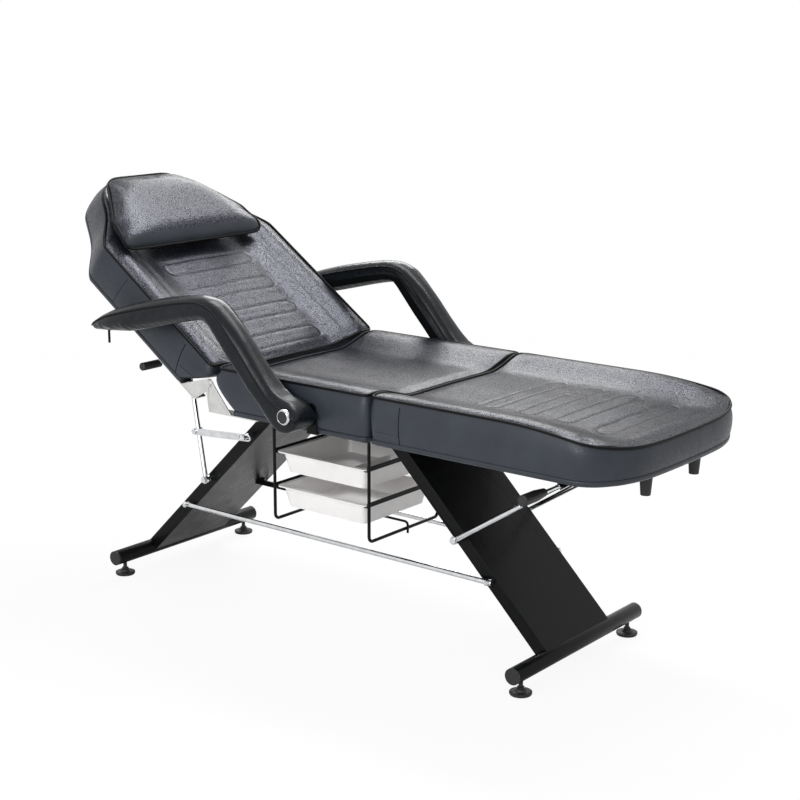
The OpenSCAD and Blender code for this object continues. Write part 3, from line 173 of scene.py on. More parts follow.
def lookup(keys, x):
    """The value at x of a smooth curve through (x, value) pairs."""
    k = min(max(bisect.bisect_right([p[0] for p in keys], x), 1), len(keys) - 1)
    (x0, y0), (x1, y1) = keys[k - 1], keys[k]
    before = keys[max(k - 2, 0)]
    after = keys[min(k + 1, len(keys) - 1)]
    m0 = (y1 - before[1]) / (x1 - before[0])
    m1 = (after[1] - y0) / (after[0] - x0)
    h = x1 - x0
    t = min(max((x - x0) / h, 0), 1)
    return (
        y0 * (1 + 2 * t) * (1 - t) ** 2
        + m0 * h * t * (1 - t) ** 2
        + y1 * t * t * (3 - 2 * t)
        + m1 * h * t * t * (t - 1)
    )


def cut_corners(line, times):
    """Rounds an open line by cutting its corners; its ends stay."""
    for _ in range(times):
        cut = [line[0]]
        for a, b in zip(line, line[1:]):
            cut += [a.lerp(b, 0.25), a.lerp(b, 0.75)]
        line = cut + [line[-1]]
    return line


class Line:
    """An open line of points that gives the point at any share of its length."""

    def __init__(self, points):
        self.points = points
        self.sums = [0.0]
        for a, b in zip(points, points[1:]):
            self.sums.append(self.sums[-1] + (b - a).length)
        self.length = self.sums[-1]

    def at(self, share):
        """The point at a share of the line's length."""
        goal = min(max(share, 0), 1) * self.length
        k = min(max(bisect.bisect_left(self.sums, goal), 1), len(self.points) - 1)
        span = self.sums[k] - self.sums[k - 1]
        t = (goal - self.sums[k - 1]) / span if span else 0
        return self.points[k - 1].lerp(self.points[k], t)

    def share_where(self, test):
        """The share of the length at the first point that passes the test."""
        k = next(i for i, p in enumerate(self.points) if test(p))
        return self.sums[k] / self.length


def spread(points, step):
    """The same line with a point every step or less."""
    line = Line(points)
    count = max(math.ceil(line.length / step), 1)
    return [line.at(k / count) for k in range(count + 1)]


def droop(x, x0, x1, by):
    """A drop that starts at x0 and reaches by at x1."""
    return 0 if x <= x0 else -by * ((x - x0) / (x1 - x0)) ** 2


def fading(x, x0, x1):
    """1 up to x0, falling smoothly to 0 at x1."""
    if x <= x0:
        return 1
    return 0 if x >= x1 else math.cos(math.pi / 2 * (x - x0) / (x1 - x0)) ** 2


def loop_normals(points):
    """Outward directions in plan at each point of a closed loop that runs anticlockwise."""
    found = []
    for k, p in enumerate(points):
        a = (p - points[k - 1]).to_2d()
        b = (points[(k + 1) % len(points)] - p).to_2d()
        d = a.normalized() + b.normalized()
        found.append(Vector((d.y, -d.x, 0)).normalized())
    return found


def skirt(bm, loop, places):
    """A new loop of vertices at the given places, joined to a closed loop by a row of faces."""
    new = [bm.verts.new(place) for place in places]
    for k in range(len(loop)):
        bm.faces.new((loop[k - 1], loop[k], new[k], new[k - 1]))
    return new


def ring(bm, places):
    """A closed loop of vertices and edges at the given places."""
    made = bmesh.ops.create_circle(bm, cap_ends=False, radius=1, segments=len(places))
    for v, place in zip(made["verts"], places):
        v.co = place
    return made["verts"]


def shut(bm, loop):
    """Closes a loop with one face."""
    n = len(loop)
    edges = [bm.edges.get((loop[k], loop[(k + 1) % n])) for k in range(n)]
    return bmesh.ops.contextual_create(bm, geom=edges)["faces"]


def finish_mesh(bm, name, materials, body, place=None, smooth=True):
    """Turns a bmesh into a piece in its place, with its materials, riding on its body."""
    if place:
        bmesh.ops.transform(bm, matrix=place, verts=bm.verts)
    bmesh.ops.recalc_face_normals(bm, faces=bm.faces)
    mesh = bpy.data.meshes.new(name)
    bm.to_mesh(mesh)
    bm.free()
    mesh.polygons.foreach_set("use_smooth", [smooth] * len(mesh.polygons))
    for m in materials:
        mesh.materials.append(m)
    piece = bpy.data.objects.new(name, mesh)
    bpy.context.scene.collection.objects.link(piece)
    if body:
        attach(piece, body)
    return piece


def bake(piece):
    """Applies a piece's modifiers to its mesh."""
    ready = piece.evaluated_get(bpy.context.evaluated_depsgraph_get())
    mesh = bpy.data.meshes.new_from_object(ready)
    old = piece.data
    piece.modifiers.clear()
    piece.data = mesh
    mesh.name = piece.name
    bpy.data.meshes.remove(old)


def inflate(piece, give, pressure=4.0, frames=20):
    """Swells a pad with Blender's cloth, each point by no more than it may give.

    give holds one distance in metres for each vertex; points that give nothing are sewn.
    """
    sewn = piece.vertex_groups.new(name="sewn")
    sewn.add([k for k, g in enumerate(give) if g <= 0], 1.0, "REPLACE")
    cloth = piece.modifiers.new("cloth", "CLOTH")
    feel = cloth.settings
    feel.quality = 5
    feel.mass = 0.4
    feel.tension_stiffness = 12
    feel.compression_stiffness = 12
    feel.bending_stiffness = 0.6
    feel.use_pressure = True
    feel.uniform_pressure_force = pressure
    feel.effector_weights.gravity = 0
    feel.vertex_group_mass = sewn.name
    cloth.point_cache.frame_start = 1
    cloth.point_cache.frame_end = frames
    before = [v.co.copy() for v in piece.data.vertices]
    for f in range(1, frames + 1):
        bpy.context.scene.frame_set(f)
    ready = piece.evaluated_get(bpy.context.evaluated_depsgraph_get())
    after = [v.co.copy() for v in ready.data.vertices]
    piece.modifiers.clear()
    piece.vertex_groups.clear()
    bpy.context.scene.frame_set(1)
    for v, a, b, g in zip(piece.data.vertices, before, after, give):
        move = b - a
        if move.length > g:
            move = move.normalized() * max(g, 0)
        v.co = a + move


def subdivide(piece, levels):
    """Subdivides a pad's mesh smoothly and keeps the result."""
    m = piece.modifiers.new("subdivision", "SUBSURF")
    m.levels = levels
    m.render_levels = levels
    m.boundary_smooth = "PRESERVE_CORNERS"
    bake(piece)


def tube(name, points, diameter, closed, material, body):
    """A round cord along a smooth curve near points in metres."""
    curve = bpy.data.curves.new(name, "CURVE")
    curve.dimensions = "3D"
    curve.bevel_depth = diameter / 2
    curve.bevel_resolution = 3
    curve.use_fill_caps = not closed
    spline = curve.splines.new("NURBS")
    spline.points.add(len(points) - 1)
    for p, co in zip(spline.points, points):
        p.co = (*co, 1)
    spline.use_cyclic_u = closed
    spline.order_u = 3
    spline.use_endpoint_u = not closed
    spline.resolution_u = 3
    holder = bpy.data.objects.new(name, curve)
    bpy.context.scene.collection.objects.link(holder)
    ready = holder.evaluated_get(bpy.context.evaluated_depsgraph_get())
    mesh = bpy.data.meshes.new_from_object(ready)
    bpy.data.objects.remove(holder)
    bpy.data.curves.remove(curve)
    bm = bmesh.new()
    bm.from_mesh(mesh)
    bpy.data.meshes.remove(mesh)
    bmesh.ops.remove_doubles(bm, verts=bm.verts, dist=diameter * 0.01)
    return finish_mesh(bm, name, [material], body)


STITCH_PITCH = 6.6
STITCH_WIDE = 1.1
STITCH_HIGH = 0.88
STITCH_ENDS = (0.12, 0.88)


def stitches(name, lines, up, material, body):
    """Rows of raised stitches along lines of points in metres, on a surface that faces up."""
    one = bmesh.new()
    bmesh.ops.create_uvsphere(one, u_segments=6, v_segments=4, radius=0.5)
    bm = bmesh.new()
    for line in lines:
        path = Line(line)
        count = max(int(path.length / (STITCH_PITCH * MM)), 1)
        for k in range(count):
            a, b = (path.at((k + end) / count) for end in STITCH_ENDS)
            along = (b - a).normalized()
            side = up.cross(along).normalized()
            turn = Matrix((side, up, along)).transposed().to_4x4()
            size = Matrix.Diagonal((STITCH_WIDE * MM, STITCH_HIGH * MM, (b - a).length, 1))
            stitch = bpy.data.meshes.new("stitch")
            one.to_mesh(stitch)
            stitch.transform(Matrix.Translation((a + b) / 2) @ turn @ size)
            bm.from_mesh(stitch)
            bpy.data.meshes.remove(stitch)
    one.free()
    return finish_mesh(bm, name, [material], body)


# Materials


def linear(text):
    """An sRGB hex value as a linear RGBA colour."""
    parts = [int(text[k : k + 2], 16) / 255 for k in (1, 3, 5)]
    return tuple(c / 12.92 if c <= 0.04045 else ((c + 0.055) / 1.055) ** 2.4 for c in parts) + (1.0,)


def add(tree, kind, inputs=None, out=0, stops=(), **settings):
    """Adds a node, sets or links its inputs, and gives the output asked for.

    A stop of its ramp is a position with a hex value or a grey.
    """
    made = tree.nodes.new(kind)
    for key, value in settings.items():
        setattr(made, key, value)
    for key, value in (inputs or {}).items():
        if isinstance(value, bpy.types.NodeSocket):
            tree.links.new(value, made.inputs[key])
        else:
            made.inputs[key].default_value = value
    for k, (place, value) in enumerate(stops):
        band = made.color_ramp.elements
        while len(band) < len(stops):
            band.new(0.5)
        band[k].position = place
        band[k].color = linear(value) if isinstance(value, str) else (value, value, value, 1)
    return made.outputs[out] if made.outputs else None


def largest(tree, values):
    """The largest of several values."""
    most, *rest = values
    for value in rest:
        most = add(tree, "ShaderNodeMath", {0: most, 1: value}, operation="MAXIMUM")
    return most


def material(name, build):
    """The material of that name, built by its function the first time it is asked for."""
    found = bpy.data.materials.get(name)
    if found:
        return found
    made = bpy.data.materials.new(name)
    made.use_nodes = True
    tree = made.node_tree
    tree.nodes.clear()
    shader = build(tree, add(tree, "ShaderNodeTexCoord", out="Object"))
    add(tree, "ShaderNodeOutputMaterial", {"Surface": shader})
    return made


def surface(tree, colour, rough, relief, others=None):
    """The shader of a solid surface.

    colour and rough are a pattern with a ramp's stops, or rough is one number. relief is a
    height, its strength and its depth in metres. others sets or links the shader's other inputs.
    """
    tint = add(tree, "ShaderNodeValToRGB", {"Fac": colour[0]}, stops=colour[1])
    if isinstance(rough, tuple):
        rough = add(tree, "ShaderNodeValToRGB", {"Fac": rough[0]}, stops=rough[1])
    height, strength, depth = relief
    bump = add(tree, "ShaderNodeBump", {"Height": height, "Strength": strength, "Distance": depth})
    inputs = {"Base Color": tint, "Roughness": rough, "Normal": bump}
    return add(tree, "ShaderNodeBsdfPrincipled", {**inputs, **(others or {})})


def grained_leathercloth(tree, place):
    """PVC leathercloth with a grain pressed by an engraved roller.

    Dull valleys between shiny crowns break a reflection into fine sparkle. The real
    pebbles are about 1.5 mm; they are drawn at the grain size so that they show. Seen
    flat on they keep their shine, and seen along the surface their valleys hide it.
    """
    grain = 1 / sizes().grain
    pebbles = {"Vector": place, "Scale": grain, "Randomness": 0.9}
    cells = add(tree, "ShaderNodeTexVoronoi", pebbles, feature="DISTANCE_TO_EDGE")
    grit = {"Vector": place, "Scale": grain * 1.3, "Detail": 3.0, "Roughness": 0.7}
    fine = add(tree, "ShaderNodeTexNoise", grit)
    broad = add(tree, "ShaderNodeTexNoise", {"Vector": place, "Scale": 9.0, "Detail": 2.0})
    height = add(tree, "ShaderNodeMath", {0: cells, 1: 1.1, 2: fine}, operation="MULTIPLY_ADD")
    crowns = add(tree, "ShaderNodeValToRGB", {"Fac": height}, stops=[(0.46, 0.04), (0.80, 1.0)])
    facing = add(tree, "ShaderNodeLayerWeight", {"Blend": 0.5}, out="Facing")
    span = {"Value": facing, "From Min": 0.46, "From Max": 0.78, "To Min": 1.0, "To Max": 0.10}
    hidden = add(tree, "ShaderNodeMapRange", span)
    shine = add(tree, "ShaderNodeMath", {0: crowns, 1: hidden}, operation="MULTIPLY")
    # The colour follows the grain's height, darker in its valleys and paler on its crowns: painted shade
    # in the valleys and a painted highlight on the crowns
    return surface(
        tree,
        colour=(height, [(0.30, "#08090D"), (0.65, colours().grained), (0.9, "#20222B")]),
        rough=(broad, [(0.25, 0.26), (0.75, 0.34)]),
        relief=(height, 0.3, 0.0017),
        others={
            "IOR": 1.5,
            "Specular IOR Level": shine,
            "Specular Tint": (0.84, 0.86, 1.0, 1.0),
        },
    )


def plain_leathercloth(tree, place):
    """Smooth PVC leathercloth stretched over foam: satin, with a very fine grain and soft ripples."""
    fine = add(tree, "ShaderNodeTexNoise", {"Vector": place, "Scale": 270.0, "Detail": 3.0})
    ripple = add(tree, "ShaderNodeTexNoise", {"Vector": place, "Scale": 14.0, "Detail": 2.0})
    height = add(tree, "ShaderNodeMath", {0: ripple, 1: 6.0, 2: fine}, operation="MULTIPLY_ADD")
    return surface(
        tree,
        colour=(ripple, [(0.3, "#242930"), (0.7, colours().plain)]),
        rough=(fine, [(0.35, 0.34), (0.65, 0.56)]),
        relief=(height, 0.4, 0.0008),
        others={"IOR": 1.5, "Specular IOR Level": 0.34},
    )


def armrest_leathercloth(tree, place):
    """Near-black PVC leathercloth pulled tight round the armrests, with a low grain."""
    grain = 1 / sizes().grain
    cells = add(tree, "ShaderNodeTexVoronoi", {"Vector": place, "Scale": grain})
    ripple = add(tree, "ShaderNodeTexNoise", {"Vector": place, "Scale": 18.0, "Detail": 2.0})
    height = add(tree, "ShaderNodeMath", {0: ripple, 1: 5.0, 2: cells}, operation="MULTIPLY_ADD")
    return surface(
        tree,
        colour=(cells, [(0.1, colours().armrest), (0.8, "#0B0D10")]),
        rough=(ripple, [(0.3, 0.27), (0.7, 0.36)]),
        relief=(height, 0.22, 0.0009),
        others={"IOR": 1.5, "Specular IOR Level": 0.20},
    )


def piping_leathercloth(tree, place):
    """The same leathercloth drawn over a cord: black and dull, with fine creases."""
    crease = add(tree, "ShaderNodeTexNoise", {"Vector": place, "Scale": 300.0, "Detail": 2.0})
    return surface(
        tree,
        colour=(crease, [(0.3, "#040405"), (0.7, "#0A0B0D")]),
        rough=(crease, [(0.3, 0.44), (0.7, 0.58)]),
        relief=(crease, 0.3, 0.0004),
        others={"IOR": 1.5, "Specular IOR Level": 0.14},
    )


def sewing_thread(tree, place):
    """Twisted polyester thread, dull black with a faint sheen on its twist."""
    wave = {"Vector": place, "Scale": 180.0, "Distortion": 1.5}
    twist = add(tree, "ShaderNodeTexWave", wave, out="Fac")
    return surface(
        tree,
        colour=(twist, [(0.2, "#060607"), (0.8, "#17181A")]),
        rough=0.62,
        relief=(twist, 0.3, 0.0003),
        others={"Sheen Weight": 0.2},
    )


def powder_coat(tree, place):
    """Gloss black powder coat on steel: a faint orange peel about 3 mm wide under a hard shine."""
    peel = add(tree, "ShaderNodeTexNoise", {"Vector": place, "Scale": 330.0, "Detail": 1.0})
    broad = add(tree, "ShaderNodeTexNoise", {"Vector": place, "Scale": 25.0, "Detail": 3.0})
    return surface(
        tree,
        colour=(broad, [(0.3, "#090A0B"), (0.7, colours().paint)]),
        rough=(broad, [(0.3, 0.26), (0.7, 0.34)]),
        relief=(peel, 0.12, 0.0004),
        others={"IOR": 1.5, "Specular IOR Level": 0.12},
    )


def chrome_plate(tree, place):
    """Bright nickel-chrome plate on steel, with faint drawing lines and smudges."""
    smudge = add(tree, "ShaderNodeTexNoise", {"Vector": place, "Scale": 60.0, "Detail": 4.0})
    return surface(
        tree,
        colour=(smudge, [(0.3, "#C9CBCE"), (0.7, "#DDDEE0")]),
        rough=(smudge, [(0.3, 0.07), (0.7, 0.16)]),
        relief=(smudge, 0.05, 0.0003),
        others={"Metallic": 1.0},
    )


def chrome_cap(tree, place):
    """An armrest's cap: a bright chrome rim round a black moulded face."""
    middle = (ARM_CENTRE.x * MM, 0.0, ARM_CENTRE.z * MM)
    plane = add(tree, "ShaderNodeVectorMath", {0: place, 1: (1.0, 0.0, 1.0)}, operation="MULTIPLY")
    ends = {0: plane, 1: middle}
    reach = add(tree, "ShaderNodeVectorMath", ends, out="Value", operation="DISTANCE")
    rim = add(tree, "ShaderNodeMapRange", {"Value": reach, "From Min": 0.0140, "From Max": 0.0146})
    smudge = add(tree, "ShaderNodeTexNoise", {"Vector": place, "Scale": 90.0, "Detail": 4.0})
    face = add(tree, "ShaderNodeValToRGB", {"Fac": smudge}, stops=[(0.3, "#0A0B0C"), (0.7, "#121315")])
    plate = add(tree, "ShaderNodeValToRGB", {"Fac": smudge}, stops=[(0.3, "#C9CBCE"), (0.7, "#DDDEE0")])
    rough = add(tree, "ShaderNodeValToRGB", {"Fac": smudge}, stops=[(0.3, 0.10), (0.7, 0.20)])
    # A colour mix node's second and third colours are its sockets 6 and 7, and its result is output 2
    colour = add(tree, "ShaderNodeMix", {0: rim, 6: face, 7: plate}, out=2, data_type="RGBA")
    bump = add(tree, "ShaderNodeBump", {"Height": rim, "Strength": 0.6, "Distance": 0.0006})
    inputs = {"Base Color": colour, "Roughness": rough, "Metallic": rim, "Normal": bump}
    return add(tree, "ShaderNodeBsdfPrincipled", inputs)


def zinc_plate(tree, place):
    """Bright zinc plate on pressed steel: pale, cloudy, with a fine matt crystal."""
    crystal = add(tree, "ShaderNodeTexVoronoi", {"Vector": place, "Scale": 210.0})
    cloud = add(tree, "ShaderNodeTexNoise", {"Vector": place, "Scale": 35.0, "Detail": 4.0})
    return surface(
        tree,
        colour=(cloud, [(0.3, "#C4C5C4"), (0.7, "#DADAD7")]),
        rough=(cloud, [(0.3, 0.34), (0.7, 0.46)]),
        relief=(crystal, 0.08, 0.0003),
        others={"Metallic": 1.0},
    )


def moulded_tray(tree, place):
    """White ABS, vacuum moulded: satin, very slightly mottled."""
    mottle = add(tree, "ShaderNodeTexNoise", {"Vector": place, "Scale": 28.0, "Detail": 3.0})
    fine = add(tree, "ShaderNodeTexNoise", {"Vector": place, "Scale": 600.0, "Detail": 2.0})
    return surface(
        tree,
        colour=(mottle, [(0.3, "#E9E7E6"), (0.7, colours().tray)]),
        rough=(mottle, [(0.3, 0.32), (0.7, 0.42)]),
        relief=(fine, 0.08, 0.0003),
        others={"IOR": 1.54},
    )


def moulded_rubber(tree, place):
    """Black moulded rubber: dull, with a fine matt skin."""
    skin = add(tree, "ShaderNodeTexNoise", {"Vector": place, "Scale": 420.0, "Detail": 4.0})
    return surface(
        tree,
        colour=(skin, [(0.3, "#0B0B0C"), (0.7, "#141416")]),
        rough=(skin, [(0.3, 0.5), (0.7, 0.66)]),
        relief=(skin, 0.25, 0.0004),
        others={"IOR": 1.52},
    )


def dust_cover(tree, place):
    """Black spun-bonded polypropylene sheet, dull, with a fine fibre and dimples 3 mm apart."""
    dimple = add(tree, "ShaderNodeTexVoronoi", {"Vector": place, "Scale": 330.0, "Randomness": 0.2})
    fibre = add(tree, "ShaderNodeTexNoise", {"Vector": place, "Scale": 240.0, "Detail": 6.0})
    height = add(tree, "ShaderNodeMath", {0: dimple, 1: 0.8, 2: fibre}, operation="MULTIPLY_ADD")
    return surface(
        tree,
        colour=(fibre, [(0.3, "#0C0C0D"), (0.7, "#1B1B1C")]),
        rough=0.92,
        relief=(height, 0.4, 0.0005),
        others={"Sheen Weight": 0.15},
    )


def top_skin():
    """The grained leathercloth."""
    return material("pvc_leathercloth_grained", grained_leathercloth)


def side_skin():
    """The plain leathercloth."""
    return material("pvc_leathercloth_plain", plain_leathercloth)


def sewing():
    """The thread of the seams."""
    return material("polyester_thread", sewing_thread)


def piping_skin():
    """The leathercloth over the piping cord."""
    return material("pvc_leathercloth_piping", piping_leathercloth)


# Pads


class Pad:
    """A cushion in its own frame in millimetres: x along it, z = 0 at its top.

    half is one side of its plan, and far_corner tells which of its points lie past the far
    corner. top gives the height at x and at a share across, and lean how far the end face
    stands in at a share of the height. rows are the loops down its side. under is the pad
    whose plan it has at its base, where that differs.
    """

    def __init__(self, half, far_corner, top, lean, height, place, rows, under=None):
        self.line = Line(half)
        self.width = max(p.y for p in half)
        self.near = self.line.share_where(
            lambda p: p.y >= self.width - CORNER * 0.7 and p.x >= CORNER * 0.25
        )
        self.far = self.line.share_where(far_corner)
        self.top = top
        self.lean = lean
        self.height = height
        self.place = place
        self.rows = rows
        self.under = under or self

    def plan(self, u, v):
        """The point in plan at share u along the pad and v across it, from -1 to 1."""
        t = abs(v)
        sign = 1 if v >= 0 else -1
        a, a1 = self.line.at(self.near * t), self.line.at(self.near)
        b, b1 = self.line.at(1 - (1 - self.far) * t), self.line.at(self.far)
        c = self.line.at(self.near + (self.far - self.near) * u)
        x = (1 - u) * (a.x - a1.x) + u * (b.x - b1.x) + c.x
        y = (1 - u) * (a.y - t * a1.y) + u * (b.y - t * b1.y) + t * c.y
        return Vector((x, sign * y, 0))

    def counts(self):
        """Cells along and across the pad."""
        cell = sizes().cell / MM
        along = max(round(self.line.length * (self.far - self.near) / cell), 6)
        across = max(round(2 * self.width / cell / 2) * 2, 6)
        return along, across

    def rim(self):
        """(u, v) of each point round the edge, anticlockwise from above."""
        n, m = self.counts()
        vs = [2 * j / m - 1 for j in range(m + 1)]
        us = [i / n for i in range(n + 1)]
        return (
            [(u, -1) for u in us]
            + [(1, v) for v in vs[1:]]
            + [(u, 1) for u in us[-2::-1]]
            + [(0, v) for v in vs[-2:0:-1]]
        )

    def edge(self, out, drop, share):
        """The loop round the pad at a distance outwards, below the top and towards the base."""
        plan = [self.plan(u, v).lerp(self.under.plan(u, v), share) for u, v in self.rim()]
        places = []
        for (u, v), p, normal in zip(self.rim(), plan, loop_normals(plan)):
            z = (self.top(p.x, v) + drop) * (1 - share) - self.height * share
            q = p + normal * out
            places.append(Vector((q.x + self.lean(share, p.x), q.y, z)))
        return places


def build_pad(name, pad, body, replaced, give_top, give_side, levels):
    """Builds a pad's closed form, swells it by what its top and side may give, and subdivides it."""
    n, m = pad.counts()
    bm = bmesh.new()
    bmesh.ops.create_grid(bm, x_segments=n, y_segments=m, size=1)
    spots = {}
    for vert in bm.verts:
        u, v = (vert.co.x + 1) / 2, vert.co.y
        key = (round(u * n), round((v + 1) * m / 2))
        spots[key] = vert
        p = pad.plan(u, v)
        vert.co = Vector((p.x + pad.lean(0, p.x), p.y, pad.top(p.x, v)))
    give = {vert: give_top for vert in bm.verts}
    rim = [spots[(round(u * n), round((v + 1) * m / 2))] for u, v in pad.rim()]
    out, drop, share, free = pad.rows[0]
    for vert, place in zip(rim, pad.edge(out, drop, share)):
        vert.co = place
        give[vert] = free * MM
    top_faces = set(bm.faces)
    loop = rim
    for out, drop, share, free in pad.rows[1:]:
        loop = skirt(bm, loop, pad.edge(out, drop, share))
        for vert in loop:
            give[vert] = give_side if free is None else free * MM
    for face in bm.faces:
        face.material_index = 0 if face in top_faces else 1
    bm.verts.index_update()
    allowed = [0.0] * len(bm.verts)
    for vert, g in give.items():
        allowed[vert.index] = g
    piece = finish_mesh(bm, name, [top_skin(), side_skin()], None, pad.place)
    inflate(piece, allowed)
    subdivide(piece, levels)
    close_base(piece)
    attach(piece, body)
    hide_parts(replaced)
    return piece


def close_base(piece):
    """Closes the open loop under a pad with one flat face."""
    bm = bmesh.new()
    bm.from_mesh(piece.data)
    open_edges = [e for e in bm.edges if e.is_boundary]
    for face in bmesh.ops.contextual_create(bm, geom=open_edges)["faces"]:
        face.material_index = 1
    bmesh.ops.recalc_face_normals(bm, faces=bm.faces)
    bm.to_mesh(piece.data)
    bm.free()


def pipe_round(name, pad, body):
    """Piping round a pad's top seam."""
    places = [pad.place @ p for p in pad.edge(-PIPING_IN, -PIPING_DOWN, 0)]
    return tube(name, places, sizes().piping_diameter, True, piping_skin(), body)


def wrap_board(name, pad, body):
    """The leathercloth wrapped round the board's edge and stapled under it, with the dust cover."""
    bm = bmesh.new()
    loops = []
    for out, up in WRAP_LOOPS:
        places = [p + Vector((0, 0, up)) for p in pad.edge(out, 0, 1)]
        loops.append(skirt(bm, loops[-1], places) if loops else ring(bm, places))
    edges = [bm.edges.get((a[k], a[k - 1])) for a in (loops[0], loops[-1]) for k in range(len(a))]
    bmesh.ops.bridge_loops(bm, edges=edges)
    finish_mesh(bm, name + "_wrap", [side_skin()], body, pad.place)
    bm = bmesh.new()
    places = [p - Vector((0, 0, COVER_DOWN)) for p in pad.edge(-COVER_IN, 0, 1)]
    sheet = ring(bm, places)
    lower = skirt(bm, sheet, [p - Vector((0, 0, COVER_THICK)) for p in places])
    shut(bm, sheet)
    shut(bm, lower)
    cover = material("spunbonded_dust_cover", dust_cover)
    finish_mesh(bm, name + "_dust_cover", [cover], body, pad.place, smooth=False)


def round_corner(half):
    """The near corner of half a plan, from the end round to the side."""
    turn = [math.pi / 2 * k / 6 for k in range(7)]
    return [Vector((CORNER - CORNER * math.cos(t), half - CORNER + CORNER * math.sin(t))) for t in turn]


def square_half(length, half):
    """Half the plan of a pad with square ends and rounded corners."""
    near = round_corner(half)
    far = [Vector((length - p.x, p.y)) for p in reversed(near)]
    return [Vector((0, 0))] + near + far + [Vector((length, 0))]


def taper_half(length, half, shares):
    """Half the plan of a pad with a square near end and a far end that narrows by shares."""
    near = round_corner(half)
    far = [Vector((s * length, w * half)) for s, w in shares] + [Vector((shares[-1][0] * length, 0))]
    return [Vector((0, 0))] + near + cut_corners([near[-1]] + far, 3)[1:]


def dish(keys, v):
    """Height across a pad in dish depths, smooth through its keys."""
    return lookup(keys, abs(v)) * sizes().dish_depth / MM


# Heights across a cushion in dish depths, and plans as (share of length, share of half width)
SEAT_DISH = [
    (0, -0.94), (0.3, -0.98), (0.52, -0.95), (0.66, -0.5),
    (0.76, -0.12), (0.85, 0.09), (0.93, 0.10), (1, 0),
]
BACK_DISH = [
    (0, -0.92), (0.3, -0.97), (0.52, -0.98), (0.62, -0.66), (0.675, -0.42),
    (0.715, -0.40), (0.755, -0.20), (0.83, 0.08), (0.92, 0.12), (1, 0),
]
REST_DISH = [
    (0, -0.92), (0.3, -0.96), (0.55, -0.95), (0.68, -0.62),
    (0.78, -0.22), (0.86, 0.06), (0.93, 0.10), (1, 0),
]
BACK_TAPER = [
    (0.585, 1), (0.597, 0.992), (0.629, 0.937), (0.670, 0.848), (0.719, 0.739), (0.758, 0.673),
    (0.800, 0.615), (0.843, 0.561), (0.891, 0.498), (0.941, 0.35), (0.984, 0.19), (1, 0.05),
]
BACK_TOP_TAPER = BACK_TAPER[:7] + [
    (0.843, 0.54), (0.888, 0.42), (0.928, 0.28), (0.955, 0.14), (0.966, 0.03),
]
REST_TAPER = [
    (0.80, 1), (0.845, 1), (0.88, 0.972), (0.913, 0.924),
    (0.937, 0.855), (0.963, 0.769), (0.9937, 0.551), (1, 0.2),
]
PILLOW_PLAN = [
    (0, 0.90), (0.02, 0.975), (0.05, 1), (0.13, 1), (0.23, 0.957), (0.335, 0.957),
    (0.417, 0.882), (0.583, 0.764), (0.723, 0.659), (0.871, 0.541), (0.95, 0.415), (0.993, 0.134),
]
# The pillow's height over its seam at places along it, in millimetres
PILLOW_RISE = [
    (0, 0), (12, 15), (24, 27), (34, 31), (70, 34), (150, 34), (220, 30), (262, 22), (278, 12),
]
PILLOW_SEAM = 17
PILLOW_FRONT = 27
HEAD_DROOP = 42
REST_DROOP = 36

SEAT_PLACE = Matrix.Translation((SEAT_REAR, 0, TOP_Z)) @ Matrix.Scale(MM, 4)
REST_PLACE = Matrix.Translation((REST_REAR, 0, TOP_Z)) @ Matrix.Scale(MM, 4)
BACK_PLACE = (
    Matrix.Translation(BACK_HINGE)
    @ Matrix.Rotation(math.radians(BACK_ANGLE), 4, "Y")
    @ Matrix.Rotation(math.pi, 4, "Z")
    @ Matrix.Translation(BACK_FROM_HINGE)
    @ Matrix.Scale(MM, 4)
)
PILLOW_PLACE = BACK_PLACE @ Matrix.Translation((PILLOW_FROM, PILLOW_ASIDE, 0))


def nosed(f, nose, undercut, bend):
    """How far an end face stands in at share f of its height: a nose at a quarter, then the undercut."""
    return -nose * f / 0.25 if f < 0.25 else -nose + (nose + undercut) * ((f - 0.25) / 0.75) ** bend


def past(x, y):
    """A test for the points of a plan beyond x and within y of the middle."""
    return lambda p: p.x > x and p.y < y


def head_droop(x):
    """Fall of the backrest's top towards its head end."""
    return droop(x, 0.72 * BACK_LENGTH, BACK_LENGTH, HEAD_DROOP)


def rest_droop(x):
    """Fall of the leg rest's top towards its foot end."""
    return droop(x, 0.53 * REST_LENGTH, REST_LENGTH, REST_DROOP)


def seat_pad():
    """The seat cushion's form."""
    half = sizes().bed_width / MM / 2
    return Pad(
        half=square_half(SEAT_LENGTH, half),
        far_corner=lambda p: p.x >= SEAT_LENGTH - 5,
        top=lambda x, v: dish(SEAT_DISH, v),
        lean=lambda f, x: nosed(f, 14, 46, 1.4) * max(0, 1 - x / 230),
        height=sizes().cushion_height / MM,
        place=SEAT_PLACE,
        rows=SIDE_ROWS,
    )


def back_pad(top=True):
    """The backrest cushion's form; its head end is smaller at the top than at the board."""
    half = sizes().bed_width / MM / 2
    return Pad(
        half=taper_half(BACK_LENGTH, half, BACK_TOP_TAPER if top else BACK_TAPER),
        far_corner=past(664, 0.42 * half),
        under=back_pad(top=False) if top else None,
        top=lambda x, v: head_droop(x) + dish(BACK_DISH, v) * fading(x, 0.8 * BACK_LENGTH, BACK_LENGTH),
        lean=lambda f, x: nosed(f, 9, 61, 1.0) * max(0, 1 - x / (0.28 * BACK_LENGTH)),
        height=sizes().cushion_height / MM,
        place=BACK_PLACE,
        rows=SIDE_ROWS,
    )


def rest_pad():
    """The leg rest cushion's form."""
    half = sizes().bed_width / MM / 2
    return Pad(
        half=taper_half(REST_LENGTH, half, REST_TAPER),
        far_corner=past(560, 0.86 * half),
        top=lambda x, v: rest_droop(x) + dish(REST_DISH, v) * fading(x, 0.78 * REST_LENGTH, REST_LENGTH),
        lean=lambda f, x: 0,
        height=sizes().cushion_height / MM,
        place=REST_PLACE,
        rows=SIDE_ROWS,
    )


